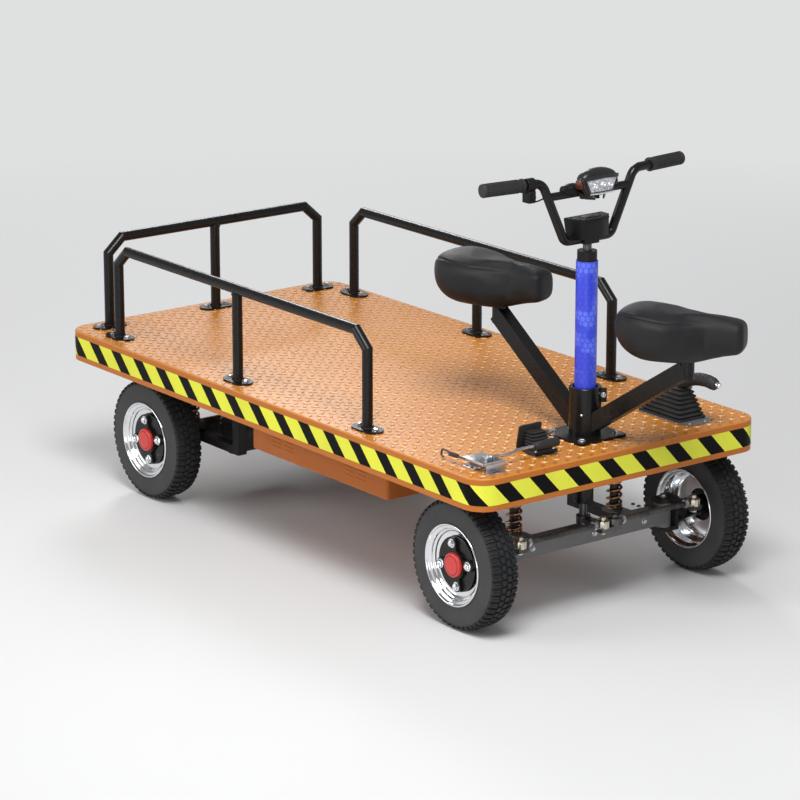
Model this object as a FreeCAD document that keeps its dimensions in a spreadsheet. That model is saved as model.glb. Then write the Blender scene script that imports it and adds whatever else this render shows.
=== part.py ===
import FreeCAD, Part
import os
import re
from math import atan2, cos, degrees, hypot, pi, radians, sin, sqrt, tan

import Sketcher
from FreeCAD import Rotation, Vector

# A battery-powered flatbed trolley with a swivelling pair of saddles.
# Millimetres. +X is forward, +Y is left, +Z is up, and the ground is Z = 0.
# Places along X whose names end in _ahead are measured from the middle of the deck.

SIZES = {
    # deck: a folded sheet tray on a frame of box section
    "deck_length": 2000, "deck_width": 1000, "deck_top": 462, "deck_depth": 90.5,
    "deck_sheet": 4, "deck_corner": 65, "deck_edge": 5, "trim": 0.01, "past": 1,
    "frame_depth": 70, "frame_spacing": 660, "frame_side_width": 50, "frame_end_gap": 60,
    "cross_width": 40,
    # guard rails of bent tube on three sides
    "rail_radius": 15, "rail_height": 273, "rail_mitre_run": 50, "rail_mitre_rise": 45,
    "rail_inset": 62, "side_rail_length": 1235, "side_rail_ahead": -182.5,
    "rear_rail_length": 780, "rear_rail_inset": 70,
    "foot_length": 110, "foot_width": 60, "foot_thick": 6,
    # wheels
    "tyre_radius": 181.4, "tyre_width": 87.6, "tyre_shoulder": 12, "tyre_crown": 2,
    "tyre_wall_bow": 60, "tyre_wall_taper": 4, "bead_depth": 2,
    "track": 827, "front_axle_ahead": 834.5, "rear_axle_ahead": -646.7,
    "rim_flange_radius": 114.2, "rim_seat_radius": 101.6, "rim_width": 95.5, "rim_sheet": 3.2,
    "dish_run": 22, "dish_back_rise": 10, "dish_front_rise": 16, "dish_lip": 4, "barrel_draft": 1,
    "dish_depth": 22, "hub_pilot_radius": 20, "hub_radius": 28, "hub_length": 68,
    "hub_plate_radius": 76, "hub_plate_thick": 3, "boss_radius": 40, "lobe_radius": 16,
    "lobe_circle": 59, "lobe_thick": 11, "lobe_arm_width": 28, "lobe_turn": 10,
    "cap_radius": 33, "cap_height": 11, "cap_round": 6, "bore_clear": 22,
    "seat_gap": 0.3, "running_gap": 0.05,
    # front axle, knuckles and steering linkage
    "kingpin_spacing": 580, "kingpin_radius": 12, "eye_radius": 23, "eye_height": 70,
    "beam_height": 44, "beam_width": 50, "fork_thick": 12, "fork_width": 44, "fork_gap": 1,
    "web_inset": 30, "web_thick": 12, "spindle_radius": 10, "spindle_past_centre": 24,
    "spacer_radius": 16, "side_play": 0.5,
    "crank": 105, "stud_offset": 20, "stud_radius": 8, "arm_width": 32,
    "rod_eye_radius": 15, "rod_eye_thick": 14, "rod_radius": 8, "rod_lift": 2,
    "stud_end": 6, "rod_set": 4, "shaft_flange": 8, "shaft_flange_thick": 22, "shaft_drop": 5,
    # springs and links
    "spring_radius": 23.5, "spring_wire": 4, "spring_core": 13, "spring_turns": 6,
    "spring_web": 2,
    "spring_cup": 5, "front_spring_ahead": 755, "front_spring_spread": 360,
    "rear_spring_spread": 570, "spring_seat_thick": 10, "spring_seat_height": 200,
    "link_width": 30, "link_height": 25, "link_bottom": 165,
    "front_hanger_ahead": 585, "rear_hanger_ahead": -400,
    # rear axle and drive
    "axle_tube_radius": 30, "axle_tube_length": 660, "brake_plate_radius": 80,
    "brake_plate_thick": 8, "gear_radius": 72, "gear_width": 120, "gear_reach": 197,
    "gear_box_bottom": 130, "gear_box_top": 252, "axle_pad_length": 70, "axle_pad_width": 50,
    "axle_pad_set": 2,
    "motor_radius": 62, "motor_length": 180, "motor_ahead": -520, "motor_height": 191,
    # battery box
    "battery_length": 640, "battery_width": 400, "battery_height": 102, "battery_ahead": 220,
    "battery_side_gap": 50, "battery_corner": 12,
    # steering column, which stands over the front axle
    "column_radius": 27, "column_bore": 17, "column_foot": 273,
    "column_head": 951, "base_plate": 165, "base_plate_thick": 8, "base_plate_corner": 8,
    "bush_length": 30, "sleeve_radius": 30, "cap_top": 979, "stem_top": 1000,
    "shaft_radius": 12,
    # swivelling seat carrier
    "collar_radius": 44.5, "collar_bore": 35, "collar_top": 600, "sleeve_foot": 570,
    "bush_top": 565, "arm_turn": 6, "arm_height": 46, "arm_thick": 38, "arm_root": 510,
    "front_reach": 368, "front_arm_tip": 722, "rear_reach": 332, "rear_arm_tip": 743,
    "post_radius": 19, "post_tail": 27,
    "lug_reach": 60, "lug_thick": 6, "lug_foot": 560, "lug_turn": 35,
    # saddles
    "front_saddle_foot": 757, "rear_saddle_foot": 778,
    "saddle_tail_radius": 115, "saddle_nose_radius": 50, "saddle_spread": 190,
    "saddle_tail_top": 139, "saddle_waist_top": 116, "saddle_nose_top": 108,
    "saddle_nose_foot": 34, "saddle_tail_foot": 26,
    "pan_heel": 40, "pan_toe": 90, "nose_lip": 20, "nose_lip_rise": 6, "nose_top_drop": 12,
    "waist_ahead": 50, "kick_behind": 20, "kick_run": 25, "kick_drop": 4, "tail_cheek": 40,
    "front_saddle_set": 80, "rear_saddle_set": 78,
    "front_saddle_turn": 36, "rear_saddle_turn": 18,
    # handlebar, seen with the road wheels straight ahead
    "bar_turn": 0, "bar_radius": 12.5, "bar_foot_half": 81,
    "bar_rise": 170.5, "bar_bend_half": 160, "grip_half": 345, "grip_sweep": 6.5,
    "bar_foot_bend": 24, "bar_top_bend": 36, "grip_radius": 19, "grip_length": 128,
    "grip_wall": 3.2, "cross_bar_drop": 42, "cross_bar_radius": 11,
    "clamp_length": 40, "clamp_width": 50, "clamp_height": 25,
    "bracket_reach": 12, "bracket_width": 60, "bracket_height": 34,
    "lamp_width": 126, "lamp_height": 72, "lamp_depth": 46, "lamp_corner": 30,
    "lamp_recess": 8, "lamp_rim": 7, "lamp_drop": 2, "lens_thick": 6,
    "box_width": 130, "box_depth": 56, "box_height": 56, "box_hang": 8.5, "box_corner": 12,
    "box_ahead": 6,
    "switch_start": 27, "switch_width": 27, "switch_depth": 34, "switch_height": 30,
    "switch_ring_radius": 18,
    # foot brake
    "brake_ahead": 905, "brake_inset": 87.5, "brake_length": 100, "brake_width": 75,
    "brake_height": 25, "brake_sheet": 3, "brake_rod_radius": 4, "brake_rod_rise": 16,
    "brake_pad_radius": 11.5, "brake_pad_length": 80, "brake_pad_ahead": 933,
    "brake_reach": 156.5, "brake_hook": 65, "brake_hook_inset": 20, "brake_hook_root": 4,
    # accelerator
    "pedal_ahead": 872, "pedal_inset": 300, "pedal_length": 80, "pedal_width": 86,
    "pedal_thick": 8, "pedal_tilt": 12, "pedal_plate": 66, "pedal_plate_thick": 8,
    "pedal_block": 44, "pedal_margin": 4,
    # hand brake
    "lever_ahead": 829, "lever_inset": 178, "lever_set": 43, "lever_plate_length": 186,
    "lever_plate_width": 106, "lever_plate_thick": 4, "gaiter_length": 174,
    "gaiter_width": 92, "gaiter_top_length": 50, "gaiter_top_width": 44,
    "gaiter_height": 68, "gaiter_wall": 4, "lever_stem_radius": 9, "lever_height": 552,
    "lever_radius": 18, "lever_length": 178, "lever_tail": 20, "lever_bow": 300,
    "lever_rise": 28,
}

doc = FreeCAD.newDocument("FlatbedTrolley")
sheet = doc.addObject("Spreadsheet::Sheet", "sizes")
for row, (alias, number) in enumerate(SIZES.items(), start=1):
    sheet.set(f"A{row}", f"'{alias}")
    sheet.set(f"B{row}", str(number))
    sheet.setAlias(f"B{row}", alias)
doc.recompute()


# ---- expressions -----------------------------------------------------------------

def cells(text):
    """Point each size's name in an expression at its cell in the sheet."""
    def link(word):
        return f"sizes.{word[0]}" if word[0] in SIZES else word[0]
    return re.sub(r"[a-z][a-z_]*", link, str(text))


def value(text):
    """What an expression of sizes comes to, as a number."""
    return float(sheet.evalExpression(cells(text)))


def bind(item, name, text):
    item.setExpression(name, cells(text))


def put(item, x=0, y=0, z=0, turn=None, axis=Vector(0, 0, 1)):
    """Bind an object's place, and its turn about one axis, to expressions."""
    if turn is not None:
        item.Placement.Rotation = Rotation(axis, value(turn))
        bind(item, "Placement.Rotation.Angle", turn)
    for letter, text in zip("xyz", (x, y, z)):
        bind(item, f"Placement.Base.{letter}", text)
    return item


# The foremost point is the front saddle, and the origin lies under the middle of the
# whole trolley's length, so the deck's middle is this far from it.
FRONT_POST = "(front_axle_ahead + front_reach * cos(arm_turn))"
NOSE_PAST_POST = "((saddle_spread - front_saddle_set) * cos(front_saddle_turn) + saddle_nose_radius)"
TAIL_PAST_POST = "(saddle_tail_radius - front_saddle_set * cos(front_saddle_turn))"
FRONT_REACH = f"({FRONT_POST} + max({NOSE_PAST_POST}; {TAIL_PAST_POST}))"
DECK = f"((deck_length / 2 - {FRONT_REACH}) / 2)"

DECK_FOOT = "(deck_top - deck_depth)"
DECK_UNDER = "(deck_top - deck_sheet)"
FRAME_FOOT = "(deck_top - deck_sheet - frame_depth)"
AXLE_HEIGHT = "tyre_radius"

NODES = {}


def node(label, item, x=0, y=0, z=0, turn=None):
    """Name a finished sub-part and place it; x is measured from the deck's middle."""
    put(item, f"{DECK} + {x}", y, z, turn)
    item.Label = label
    NODES[label] = item
    return item


# ---- primitives and booleans -------------------------------------------------------

def block(x, y, z, length, width, height):
    """A box centred on x and y that stands on z."""
    box = doc.addObject("Part::Box", "Block")
    bind(box, "Length", length)
    bind(box, "Width", width)
    bind(box, "Height", height)
    return put(box, f"{x} - ({length}) / 2", f"{y} - ({width}) / 2", z)


AXIS_TURNS = {"X": (Vector(0, 1, 0), 90), "Y": (Vector(1, 0, 0), -90), "Z": None}


def rod(x, y, z, radius, length, along="Z"):
    """A cylinder that starts at a point and runs along one axis."""
    cylinder = doc.addObject("Part::Cylinder", "Rod")
    bind(cylinder, "Radius", radius)
    bind(cylinder, "Height", length)
    if AXIS_TURNS[along]:
        cylinder.Placement.Rotation = Rotation(*AXIS_TURNS[along])
    return put(cylinder, x, y, z)


def rod_between(x, start, end, z, radius, side=1):
    """A cylinder along Y from one distance out to another, on the left (1) or right (-1)."""
    first = start if side > 0 else f"-({end})"
    return rod(x, first, z, radius, f"({end}) - ({start})", "Y")


def fused(*parts):
    item = doc.addObject("Part::MultiFuse", "Fused")
    item.Shapes = list(parts)
    item.Refine = True
    return item


def apart(*parts):
    item = doc.addObject("Part::Compound", "Apart")
    item.Links = list(parts)
    return item


def cut(base, *tools):
    item = doc.addObject("Part::Cut", "Cut")
    item.Base = base
    item.Tool = tools[0] if len(tools) == 1 else fused(*tools)
    item.Refine = True
    return item


# ---- sketches and bodies -------------------------------------------------------------

def new_body(name):
    return doc.addObject("PartDesign::Body", name)


def plane(body, role):
    return [item for item in body.Origin.OriginFeatures if item.Role == role][0]


def arc_between(start, end, radius, leftward):
    """The short arc from one point to the next, turning left or right."""
    chord = end - start
    offset = sqrt(max(radius ** 2 - (chord.Length / 2) ** 2, 0))
    left = Vector(-chord.y, chord.x, 0).normalize()
    centre = (start + end) / 2 + left * (offset if leftward else -offset)
    first, last = (start, end) if leftward else (end, start)
    begin = atan2(first.y - centre.y, first.x - centre.x)
    stop = atan2(last.y - centre.y, last.x - centre.x)
    circle = Part.Circle(centre, Vector(0, 0, 1), radius)
    return Part.ArcOfCircle(circle, begin, stop + 2 * pi if stop < begin else stop)


def outline(body, role, corners, lift=None):
    """A closed sketch. A corner is (x, y), or (x, y, radius) where an arc starts there.

    A radius with a minus sign turns right. Every corner and radius is bound to sizes."""
    sketch = body.newObject("Sketcher::SketchObject", "Outline")
    sketch.AttachmentSupport = [(plane(body, role), "")]
    sketch.MapMode = "FlatFace"
    if lift is not None:
        bind(sketch, "AttachmentOffset.Base.z", lift)
    points = [Vector(value(corner[0]), value(corner[1]), 0) for corner in corners]
    ends = []
    for index, corner in enumerate(corners):
        start, end = points[index], points[(index + 1) % len(points)]
        if len(corner) == 2:
            sketch.addGeometry(Part.LineSegment(start, end))
            ends.append((1, 2))
        else:
            leftward = not str(corner[2]).startswith("-")
            radius = value(str(corner[2]).lstrip("-"))
            sketch.addGeometry(arc_between(start, end, radius, leftward))
            ends.append((1, 2) if leftward else (2, 1))

    def fix(text, *constraint):
        number = sketch.addConstraint(Sketcher.Constraint(*constraint, value(text)))
        bind(sketch, f"Constraints[{number}]", text)

    for index, corner in enumerate(corners):
        following = (index + 1) % len(corners)
        joint = (index, ends[index][1], following, ends[following][0])
        sketch.addConstraint(Sketcher.Constraint("Coincident", *joint))
    for index, corner in enumerate(corners):
        fix(corner[0], "DistanceX", -1, 1, index, ends[index][0])
        fix(corner[1], "DistanceY", -1, 1, index, ends[index][0])
        if len(corner) == 3:
            fix(str(corner[2]).lstrip("-"), "Radius", index)
    return sketch


def rounded(length, width, corner, x="0", y="0"):
    """Corners of a rounded rectangle about a point, counter-clockwise."""
    points = []
    for sx, sy, first in ((1, -1, "y"), (1, 1, "x"), (-1, 1, "y"), (-1, -1, "x")):
        on_side = (f"{x} + {sx} * ({length}) / 2", f"{y} + {sy} * (({width}) / 2 - ({corner}))")
        on_end = (f"{x} + {sx} * (({length}) / 2 - ({corner}))", f"{y} + {sy} * ({width}) / 2")
        start, end = (on_end, on_side) if first == "y" else (on_side, on_end)
        points.append((*start, corner))
        points.append(end)
    return points


def pad(body, sketch, length):
    feature = body.newObject("PartDesign::Pad", "Pad")
    feature.Profile = (sketch, [""])
    bind(feature, "Length", length)
    return feature


def pocket(body, sketch, depth=None):
    """Cut upwards, along the sketch's own normal."""
    feature = body.newObject("PartDesign::Pocket", "Pocket")
    feature.Profile = (sketch, [""])
    feature.Reversed = True
    if depth is None:
        feature.Type = "ThroughAll"
    else:
        bind(feature, "Length", depth)
    return feature


def turned(body, sketch):
    feature = body.newObject("PartDesign::Revolution", "Turned")
    feature.Profile = (sketch, [""])
    feature.ReferenceAxis = (sketch, ["V_Axis"])
    feature.Angle = 360
    return feature


def soften(body, feature, radius, chosen):
    """Fillet the edges that a test on their bounding box picks."""
    doc.recompute()
    edges = feature.Shape.Edges
    names = [f"Edge{i}" for i, edge in enumerate(edges, start=1) if chosen(edge.BoundBox)]
    fillet = body.newObject("PartDesign::Fillet", "Fillet")
    fillet.Base = (feature, names)
    bind(fillet, "Radius", radius)
    return fillet


def level_with(height):
    """A test for edges that lie flat at one height."""
    level = value(height)
    return lambda box: abs(box.ZMin - level) < 1e-3 and abs(box.ZMax - level) < 1e-3


def slab(name, length, width, height, corner):
    """A plate or block with rounded upright corners, standing on its own origin."""
    body = new_body(name)
    pad(body, outline(body, "XY_Plane", rounded(length, width, corner)), height)
    return body


# ---- deck and frame --------------------------------------------------------------------

def make_deck():
    body = new_body("Deck")
    tray = pad(body, outline(body, "XY_Plane", rounded("deck_length", "deck_width", "deck_corner")),
               "deck_depth")
    soft = soften(body, tray, "deck_edge", level_with("deck_depth"))
    inside = rounded("deck_length - 2 * deck_sheet", "deck_width - 2 * deck_sheet",
                     "deck_corner - deck_sheet")
    pocket(body, outline(body, "XY_Plane", inside), "deck_depth - deck_sheet")
    hole = "2 * (column_radius + seat_gap)"
    around = rounded(hole, hole, "column_radius + seat_gap - trim", x="front_axle_ahead")
    pocket(body, outline(body, "XY_Plane", around))
    node("deck_shell", body, z=DECK_FOOT)


def make_frame():
    length = "(deck_length - 2 * frame_end_gap)"
    members = []
    for side in (1, -1):
        members.append(block("0", f"{side} * frame_spacing / 2", FRAME_FOOT, length,
                             "frame_side_width", "frame_depth"))
    clear = "(frame_spacing - frame_side_width)"
    ends = f"({length} / 2 - cross_width / 2)"
    places = (f"-{ends}", "rear_axle_ahead", "rear_hanger_ahead", "battery_ahead - battery_length / 2",
              "battery_ahead", "front_hanger_ahead", "front_spring_ahead", ends)
    for place in places:
        members.append(block(place, "0", FRAME_FOOT, "cross_width", clear, "frame_depth"))
    node("frame_members", fused(*members))


def make_battery_box():
    body = slab("BatteryBox", "battery_length", "battery_width", "battery_height", "battery_corner")
    node("battery_box", body, "battery_ahead", "battery_side_gap + battery_width / 2 - deck_width / 2",
         f"{FRAME_FOOT} - battery_height")


# ---- guard rails ---------------------------------------------------------------------------

def rail(name, length, with_mid_post=True):
    """A tube bent over two end posts, a post at its middle and an oval foot under each."""
    body = new_body(name)
    path = body.newObject("Sketcher::SketchObject", "Path")
    path.AttachmentSupport = [(plane(body, "XZ_Plane"), "")]
    path.MapMode = "FlatFace"
    bends = []
    for side in (-1, 1):
        half = f"{side} * ({length}) / 2"
        bent = [(half, "0"), (half, "rail_height - rail_mitre_rise"),
                (f"{side} * (({length}) / 2 - rail_mitre_run)", "rail_height")]
        bends += bent if side < 0 else bent[::-1]
    points = [Vector(value(x), value(z), 0) for x, z in bends]
    for start, end in zip(points, points[1:]):
        path.addGeometry(Part.LineSegment(start, end))
    for index in range(len(points) - 2):
        path.addConstraint(Sketcher.Constraint("Coincident", index, 2, index + 1, 1))
    for index, (x, z) in enumerate(bends):
        spot = (index, 1) if index < len(bends) - 1 else (index - 1, 2)
        for kind, text in (("DistanceX", x), ("DistanceY", z)):
            number = path.addConstraint(Sketcher.Constraint(kind, -1, 1, *spot, value(text)))
            bind(path, f"Constraints[{number}]", text)
    ring = body.newObject("Sketcher::SketchObject", "Tube")
    ring.AttachmentSupport = [(plane(body, "XY_Plane"), "")]
    ring.MapMode = "FlatFace"
    ring.addGeometry(Part.Circle(points[0], Vector(0, 0, 1), value("rail_radius")))
    for kind, text, spot in (("DistanceX", bends[0][0], (-1, 1, 0, 3)), ("Radius", "rail_radius", (0,))):
        number = ring.addConstraint(Sketcher.Constraint(kind, *spot, value(text)))
        bind(ring, f"Constraints[{number}]", text)
    ring.addConstraint(Sketcher.Constraint("PointOnObject", 0, 3, -1))
    tube = body.newObject("PartDesign::AdditivePipe", "Bent")
    tube.Profile = ring
    tube.Spine = (path, [])
    tube.Transition = "Right corner"
    pieces = [body]
    for place in (f"-({length}) / 2", "0", f"({length}) / 2"):
        foot = slab(f"{name}Foot", "foot_length", "foot_width", "foot_thick", "foot_width / 2 - trim")
        pieces.append(put(foot, place))
    pieces.append(rod("0", "0", "0", "rail_radius", "rail_height"))
    return fused(*pieces)


def make_rails():
    for side, label in ((1, "side_rail_left"), (-1, "side_rail_right")):
        node(label, rail("SideRail", "side_rail_length"), "side_rail_ahead",
             f"{side} * (deck_width / 2 - rail_inset)", "deck_top")
    node("rear_rail", rail("RearRail", "rear_rail_length"), "rear_rail_inset - deck_length / 2",
         "0", "deck_top", turn="90")


# ---- wheels --------------------------------------------------------------------------------

def tyre():
    """A tyre's section turned about the axle, which is the local Y axis."""
    body = new_body("Tyre")
    bead = "(rim_seat_radius + seat_gap)"
    bead_half = "(rim_width / 2 - rim_sheet - seat_gap)"
    half = "tyre_width / 2"
    cheek = "(rim_flange_radius + tyre_radius) / 2"
    shoulder = "tyre_radius - tyre_shoulder"
    section = [
        (bead, f"-{bead_half}"), ("rim_flange_radius - bead_depth", f"-{bead_half}"),
        (cheek, f"-{half}", "tyre_wall_bow"), (shoulder, f"-({half} - tyre_wall_taper)"),
        ("tyre_radius - tyre_crown", f"-({half} - tyre_shoulder)"),
        ("tyre_radius", "0"), ("tyre_radius - tyre_crown", f"{half} - tyre_shoulder"),
        (shoulder, f"{half} - tyre_wall_taper", "tyre_wall_bow"), (cheek, half),
        ("rim_flange_radius - bead_depth", bead_half), (bead, bead_half),
    ]
    turned(body, outline(body, "XY_Plane", section))
    return body


def rim():
    """A pressed rim: two flanges, a barrel and a dished disc."""
    body = new_body("Rim")
    half, flange = "rim_width / 2", "(rim_width / 2 - rim_sheet)"
    barrel = "(rim_seat_radius - rim_sheet)"
    disc = "(rim_width / 2 - dish_depth)"
    section = [
        ("hub_pilot_radius", f"{disc} - rim_sheet"), (f"{barrel} - dish_run", f"{disc} - rim_sheet"),
        (f"{barrel} - barrel_draft", f"{disc} + dish_back_rise"),
        (barrel, f"-{half}"), ("rim_flange_radius", f"-{half}"),
        ("rim_flange_radius", f"-{flange}"), ("rim_seat_radius", f"-{flange}"),
        ("rim_seat_radius", flange), ("rim_flange_radius", flange), ("rim_flange_radius", half),
        (barrel, half), (f"{barrel} - dish_lip", f"{disc} + dish_front_rise"),
        (f"{barrel} - dish_run", disc),
        ("hub_pilot_radius", disc),
    ]
    turned(body, outline(body, "XY_Plane", section))
    return body


def hub():
    """A bored hub on a round plate, with four lobes for the nuts and a cap on its boss."""
    body = new_body("Hub")
    bore = "(spindle_radius + running_gap)"
    pilot = "(hub_pilot_radius - running_gap)"
    face = "(rim_width / 2 - dish_depth)"
    back, inner = f"({face} - rim_sheet)", f"({face} - rim_sheet - hub_length)"
    front = f"({face} + lobe_thick)"
    top, bore_end = f"({front} + cap_height)", f"({front} - hub_plate_thick)"
    section = [
        (bore, inner), ("hub_radius", inner), ("hub_radius", back), (pilot, back), (pilot, face),
        ("hub_plate_radius", face), ("hub_plate_radius", f"{face} + hub_plate_thick"),
        ("boss_radius", f"{face} + hub_plate_thick"), ("boss_radius", front), ("cap_radius", front),
        ("cap_radius", f"{top} - cap_round"), ("cap_radius - cap_round", top),
        ("0", top), ("0", bore_end), (bore, bore_end),
    ]
    turned(body, outline(body, "XY_Plane", section))
    lobes = []
    for quarter in range(4):
        lobe = rod("lobe_circle", face, "0", "lobe_radius", "lobe_thick", "Y")
        arm = block("(bore_clear + lobe_circle) / 2", f"{face} + lobe_thick / 2", "-lobe_arm_width / 2",
                    "lobe_circle - bore_clear", "lobe_thick", "lobe_arm_width")
        turn = f"{90 * quarter} + lobe_turn"
        lobes.append(put(apart(fused(lobe, arm)), turn=turn, axis=Vector(0, 1, 0)))
    return fused(body, *lobes)


def make_wheels():
    for end in ("front", "rear"):
        for side, hand, turn in ((1, "left", "0"), (-1, "right", "180")):
            place = (f"{end}_axle_ahead", f"{side} * track / 2", AXLE_HEIGHT, turn)
            for kind, build in (("tyre", tyre), ("rim", rim), ("hub", hub)):
                node(f"{kind}_{end}_{hand}", build(), *place)


HUB_INNER = "(track / 2 + rim_width / 2 - dish_depth - rim_sheet - hub_length)"
SPINDLE_END = "(track / 2 + spindle_past_centre)"


# ---- front axle and steering -----------------------------------------------------------------

def make_front_axle():
    half = "kingpin_spacing / 2"
    beam = block("0", "0", f"{AXLE_HEIGHT} - beam_height / 2", "beam_width", "kingpin_spacing",
                 "beam_height")
    pieces, bores = [beam], []
    seat_length = "(front_axle_ahead - beam_width / 2 - front_spring_ahead + spring_radius)"
    seat_middle = f"-(beam_width / 2 + {seat_length} / 2)"
    for side in (1, -1):
        foot = f"{AXLE_HEIGHT} - eye_height / 2"
        pieces.append(rod("0", f"{side} * {half}", foot, "eye_radius", "eye_height"))
        bores.append(rod("0", f"{side} * {half}", f"{foot} - past", "kingpin_radius + running_gap",
                         "eye_height + 2 * past"))
        pieces.append(block(seat_middle, f"{side} * front_spring_spread / 2",
                            "spring_seat_height - spring_seat_thick", seat_length,
                            "2 * spring_radius", "spring_seat_thick"))
        trim = block("0", f"{side} * ({half} + beam_width)", f"{AXLE_HEIGHT} - beam_height",
                     "2 * beam_width", "2 * beam_width", "2 * beam_height")
        bores.append(cut(trim, rod("0", f"{side} * {half}", foot, "eye_radius", "eye_height")))
    node("front_axle", cut(fused(*pieces), *bores), "front_axle_ahead")


ARM_FOOT = f"({AXLE_HEIGHT} + eye_height / 2 + fork_gap)"
EYE_FOOT = f"({ARM_FOOT} + fork_thick + rod_lift)"
STUD_TOP = f"({EYE_FOOT} + rod_eye_thick + stud_end)"


def knuckle(side):
    """A fork about the kingpin, with the spindle outboard and the steering arm ahead."""
    low = f"({AXLE_HEIGHT} - eye_height / 2 - fork_gap - fork_thick)"
    tall = f"({ARM_FOOT} + fork_thick - {low})"
    out = "(web_inset + web_thick)"
    width = f"({out} + fork_width / 2)"
    middle = f"{side} * ({out} - {width} / 2)"
    kingpin = "kingpin_spacing / 2"
    parts = [
        rod("0", "0", low, "kingpin_radius", tall),
        block("0", middle, low, "fork_width", width, "fork_thick"),
        block("0", middle, ARM_FOOT, "fork_width", width, "fork_thick"),
        block("0", f"{side} * (web_inset + web_thick / 2)", low, "fork_width", "web_thick", tall),
        rod_between("0", out, f"{HUB_INNER} - side_play - {kingpin}", AXLE_HEIGHT, "spacer_radius", side),
        rod_between("0", out, f"{SPINDLE_END} - {kingpin}", AXLE_HEIGHT, "spindle_radius", side),
        block("(crank + arm_width / 2) / 2", f"{side} * stud_offset", ARM_FOOT,
              "crank + arm_width / 2", "arm_width", "fork_thick"),
        rod("crank", f"{side} * stud_offset", ARM_FOOT, "stud_radius", f"{STUD_TOP} - {ARM_FOOT}"),
    ]
    return fused(*parts)


def tie_rod(side):
    """A rod with an eye at each end; its own origin is the stud nearer the middle."""
    length = "kingpin_spacing / 2"
    middle = f"{EYE_FOOT} + rod_eye_thick / 2"
    eyes = [rod("0", y, EYE_FOOT, "rod_eye_radius", "rod_eye_thick") for y in ("0", f"{side} * {length}")]
    bores = [rod("0", y, f"{EYE_FOOT} - past", "stud_radius + running_gap", "rod_eye_thick + 2 * past")
             for y in ("0", f"{side} * {length}")]
    bar = rod_between("0", "stud_radius + rod_set", f"{length} - stud_radius - rod_set", middle,
                      "rod_radius", side)
    return cut(fused(*eyes, bar), *bores)


def make_steering_shaft():
    foot = f"({ARM_FOOT} - shaft_drop)"
    parts = [rod("0", "0", foot, "shaft_radius", f"stem_top - {foot}"),
             rod("0", "0", foot, "shaft_radius + shaft_flange", "shaft_flange_thick"),
             block("crank / 2", "0", ARM_FOOT, "crank", "arm_width", "fork_thick"),
             block("crank", "0", ARM_FOOT, "arm_width", "2 * stud_offset + arm_width", "fork_thick")]
    for side in (1, -1):
        parts.append(rod("crank", f"{side} * stud_offset", ARM_FOOT, "stud_radius",
                         f"{STUD_TOP} - {ARM_FOOT}"))
    node("steering_shaft", fused(*parts), "front_axle_ahead")


def make_linkage():
    for side, hand in ((1, "left"), (-1, "right")):
        node(f"knuckle_{hand}", knuckle(side), "front_axle_ahead", f"{side} * kingpin_spacing / 2")
        node(f"tie_rod_{hand}", tie_rod(side), "front_axle_ahead + crank", f"{side} * stud_offset")


# ---- springs, links, rear axle and drive -------------------------------------------------------

def spring(x, y, foot, length):
    """A coil over its damper, with a cup at each end."""
    parts = [rod(x, y, foot, "spring_core", length),
             rod(x, y, foot, "spring_radius", "spring_cup"),
             rod(x, y, f"{foot} + {length} - spring_cup", "spring_radius", "spring_cup")]
    turns = int(value("spring_turns"))
    for turn in range(turns):
        ring = doc.addObject("Part::Torus", "Coil")
        bind(ring, "Radius1", "spring_radius - spring_wire")
        bind(ring, "Radius2", "spring_wire")
        share = (turn + 0.5) / turns
        put(ring, x, y, f"{foot} + spring_cup + ({length} - 2 * spring_cup) * {share}")
        parts.append(ring)
        web = rod(x, y, f"{foot} + spring_cup + ({length} - 2 * spring_cup) * {share} - spring_web / 2",
                  "spring_radius - spring_wire", "spring_web")
        parts.append(web)
    return fused(*parts)


REAR_SEAT = f"({AXLE_HEIGHT} + axle_tube_radius + axle_pad_set)"


def make_springs():
    front = [spring("front_spring_ahead", f"{side} * front_spring_spread / 2", "spring_seat_height",
                    f"({FRAME_FOOT} - spring_seat_height)") for side in (1, -1)]
    rear = [spring("rear_axle_ahead", f"{side} * rear_spring_spread / 2", REAR_SEAT,
                   f"({FRAME_FOOT} - {REAR_SEAT})") for side in (1, -1)]
    node("front_springs", apart(*front))
    node("rear_springs", apart(*rear))


def link(hanger, end, y):
    """A trailing arm and the hanger that carries it, as one bent bar."""
    arm = block(f"({hanger} + {end}) / 2", y, "link_bottom", f"abs({end} - ({hanger}))",
                "link_width", "link_height")
    drop = block(hanger, y, "link_bottom", "link_width", "link_width", f"{FRAME_FOOT} - link_bottom")
    return fused(arm, drop)


def make_links():
    links = []
    for side in (1, -1):
        links.append(link("front_hanger_ahead", "(front_axle_ahead - beam_width / 2)",
                          f"{side} * front_spring_spread / 2"))
        links.append(link("rear_hanger_ahead", "(rear_axle_ahead + axle_pad_length / 2)",
                          f"{side} * rear_spring_spread / 2"))
    node("suspension_links", apart(*links))


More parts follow.
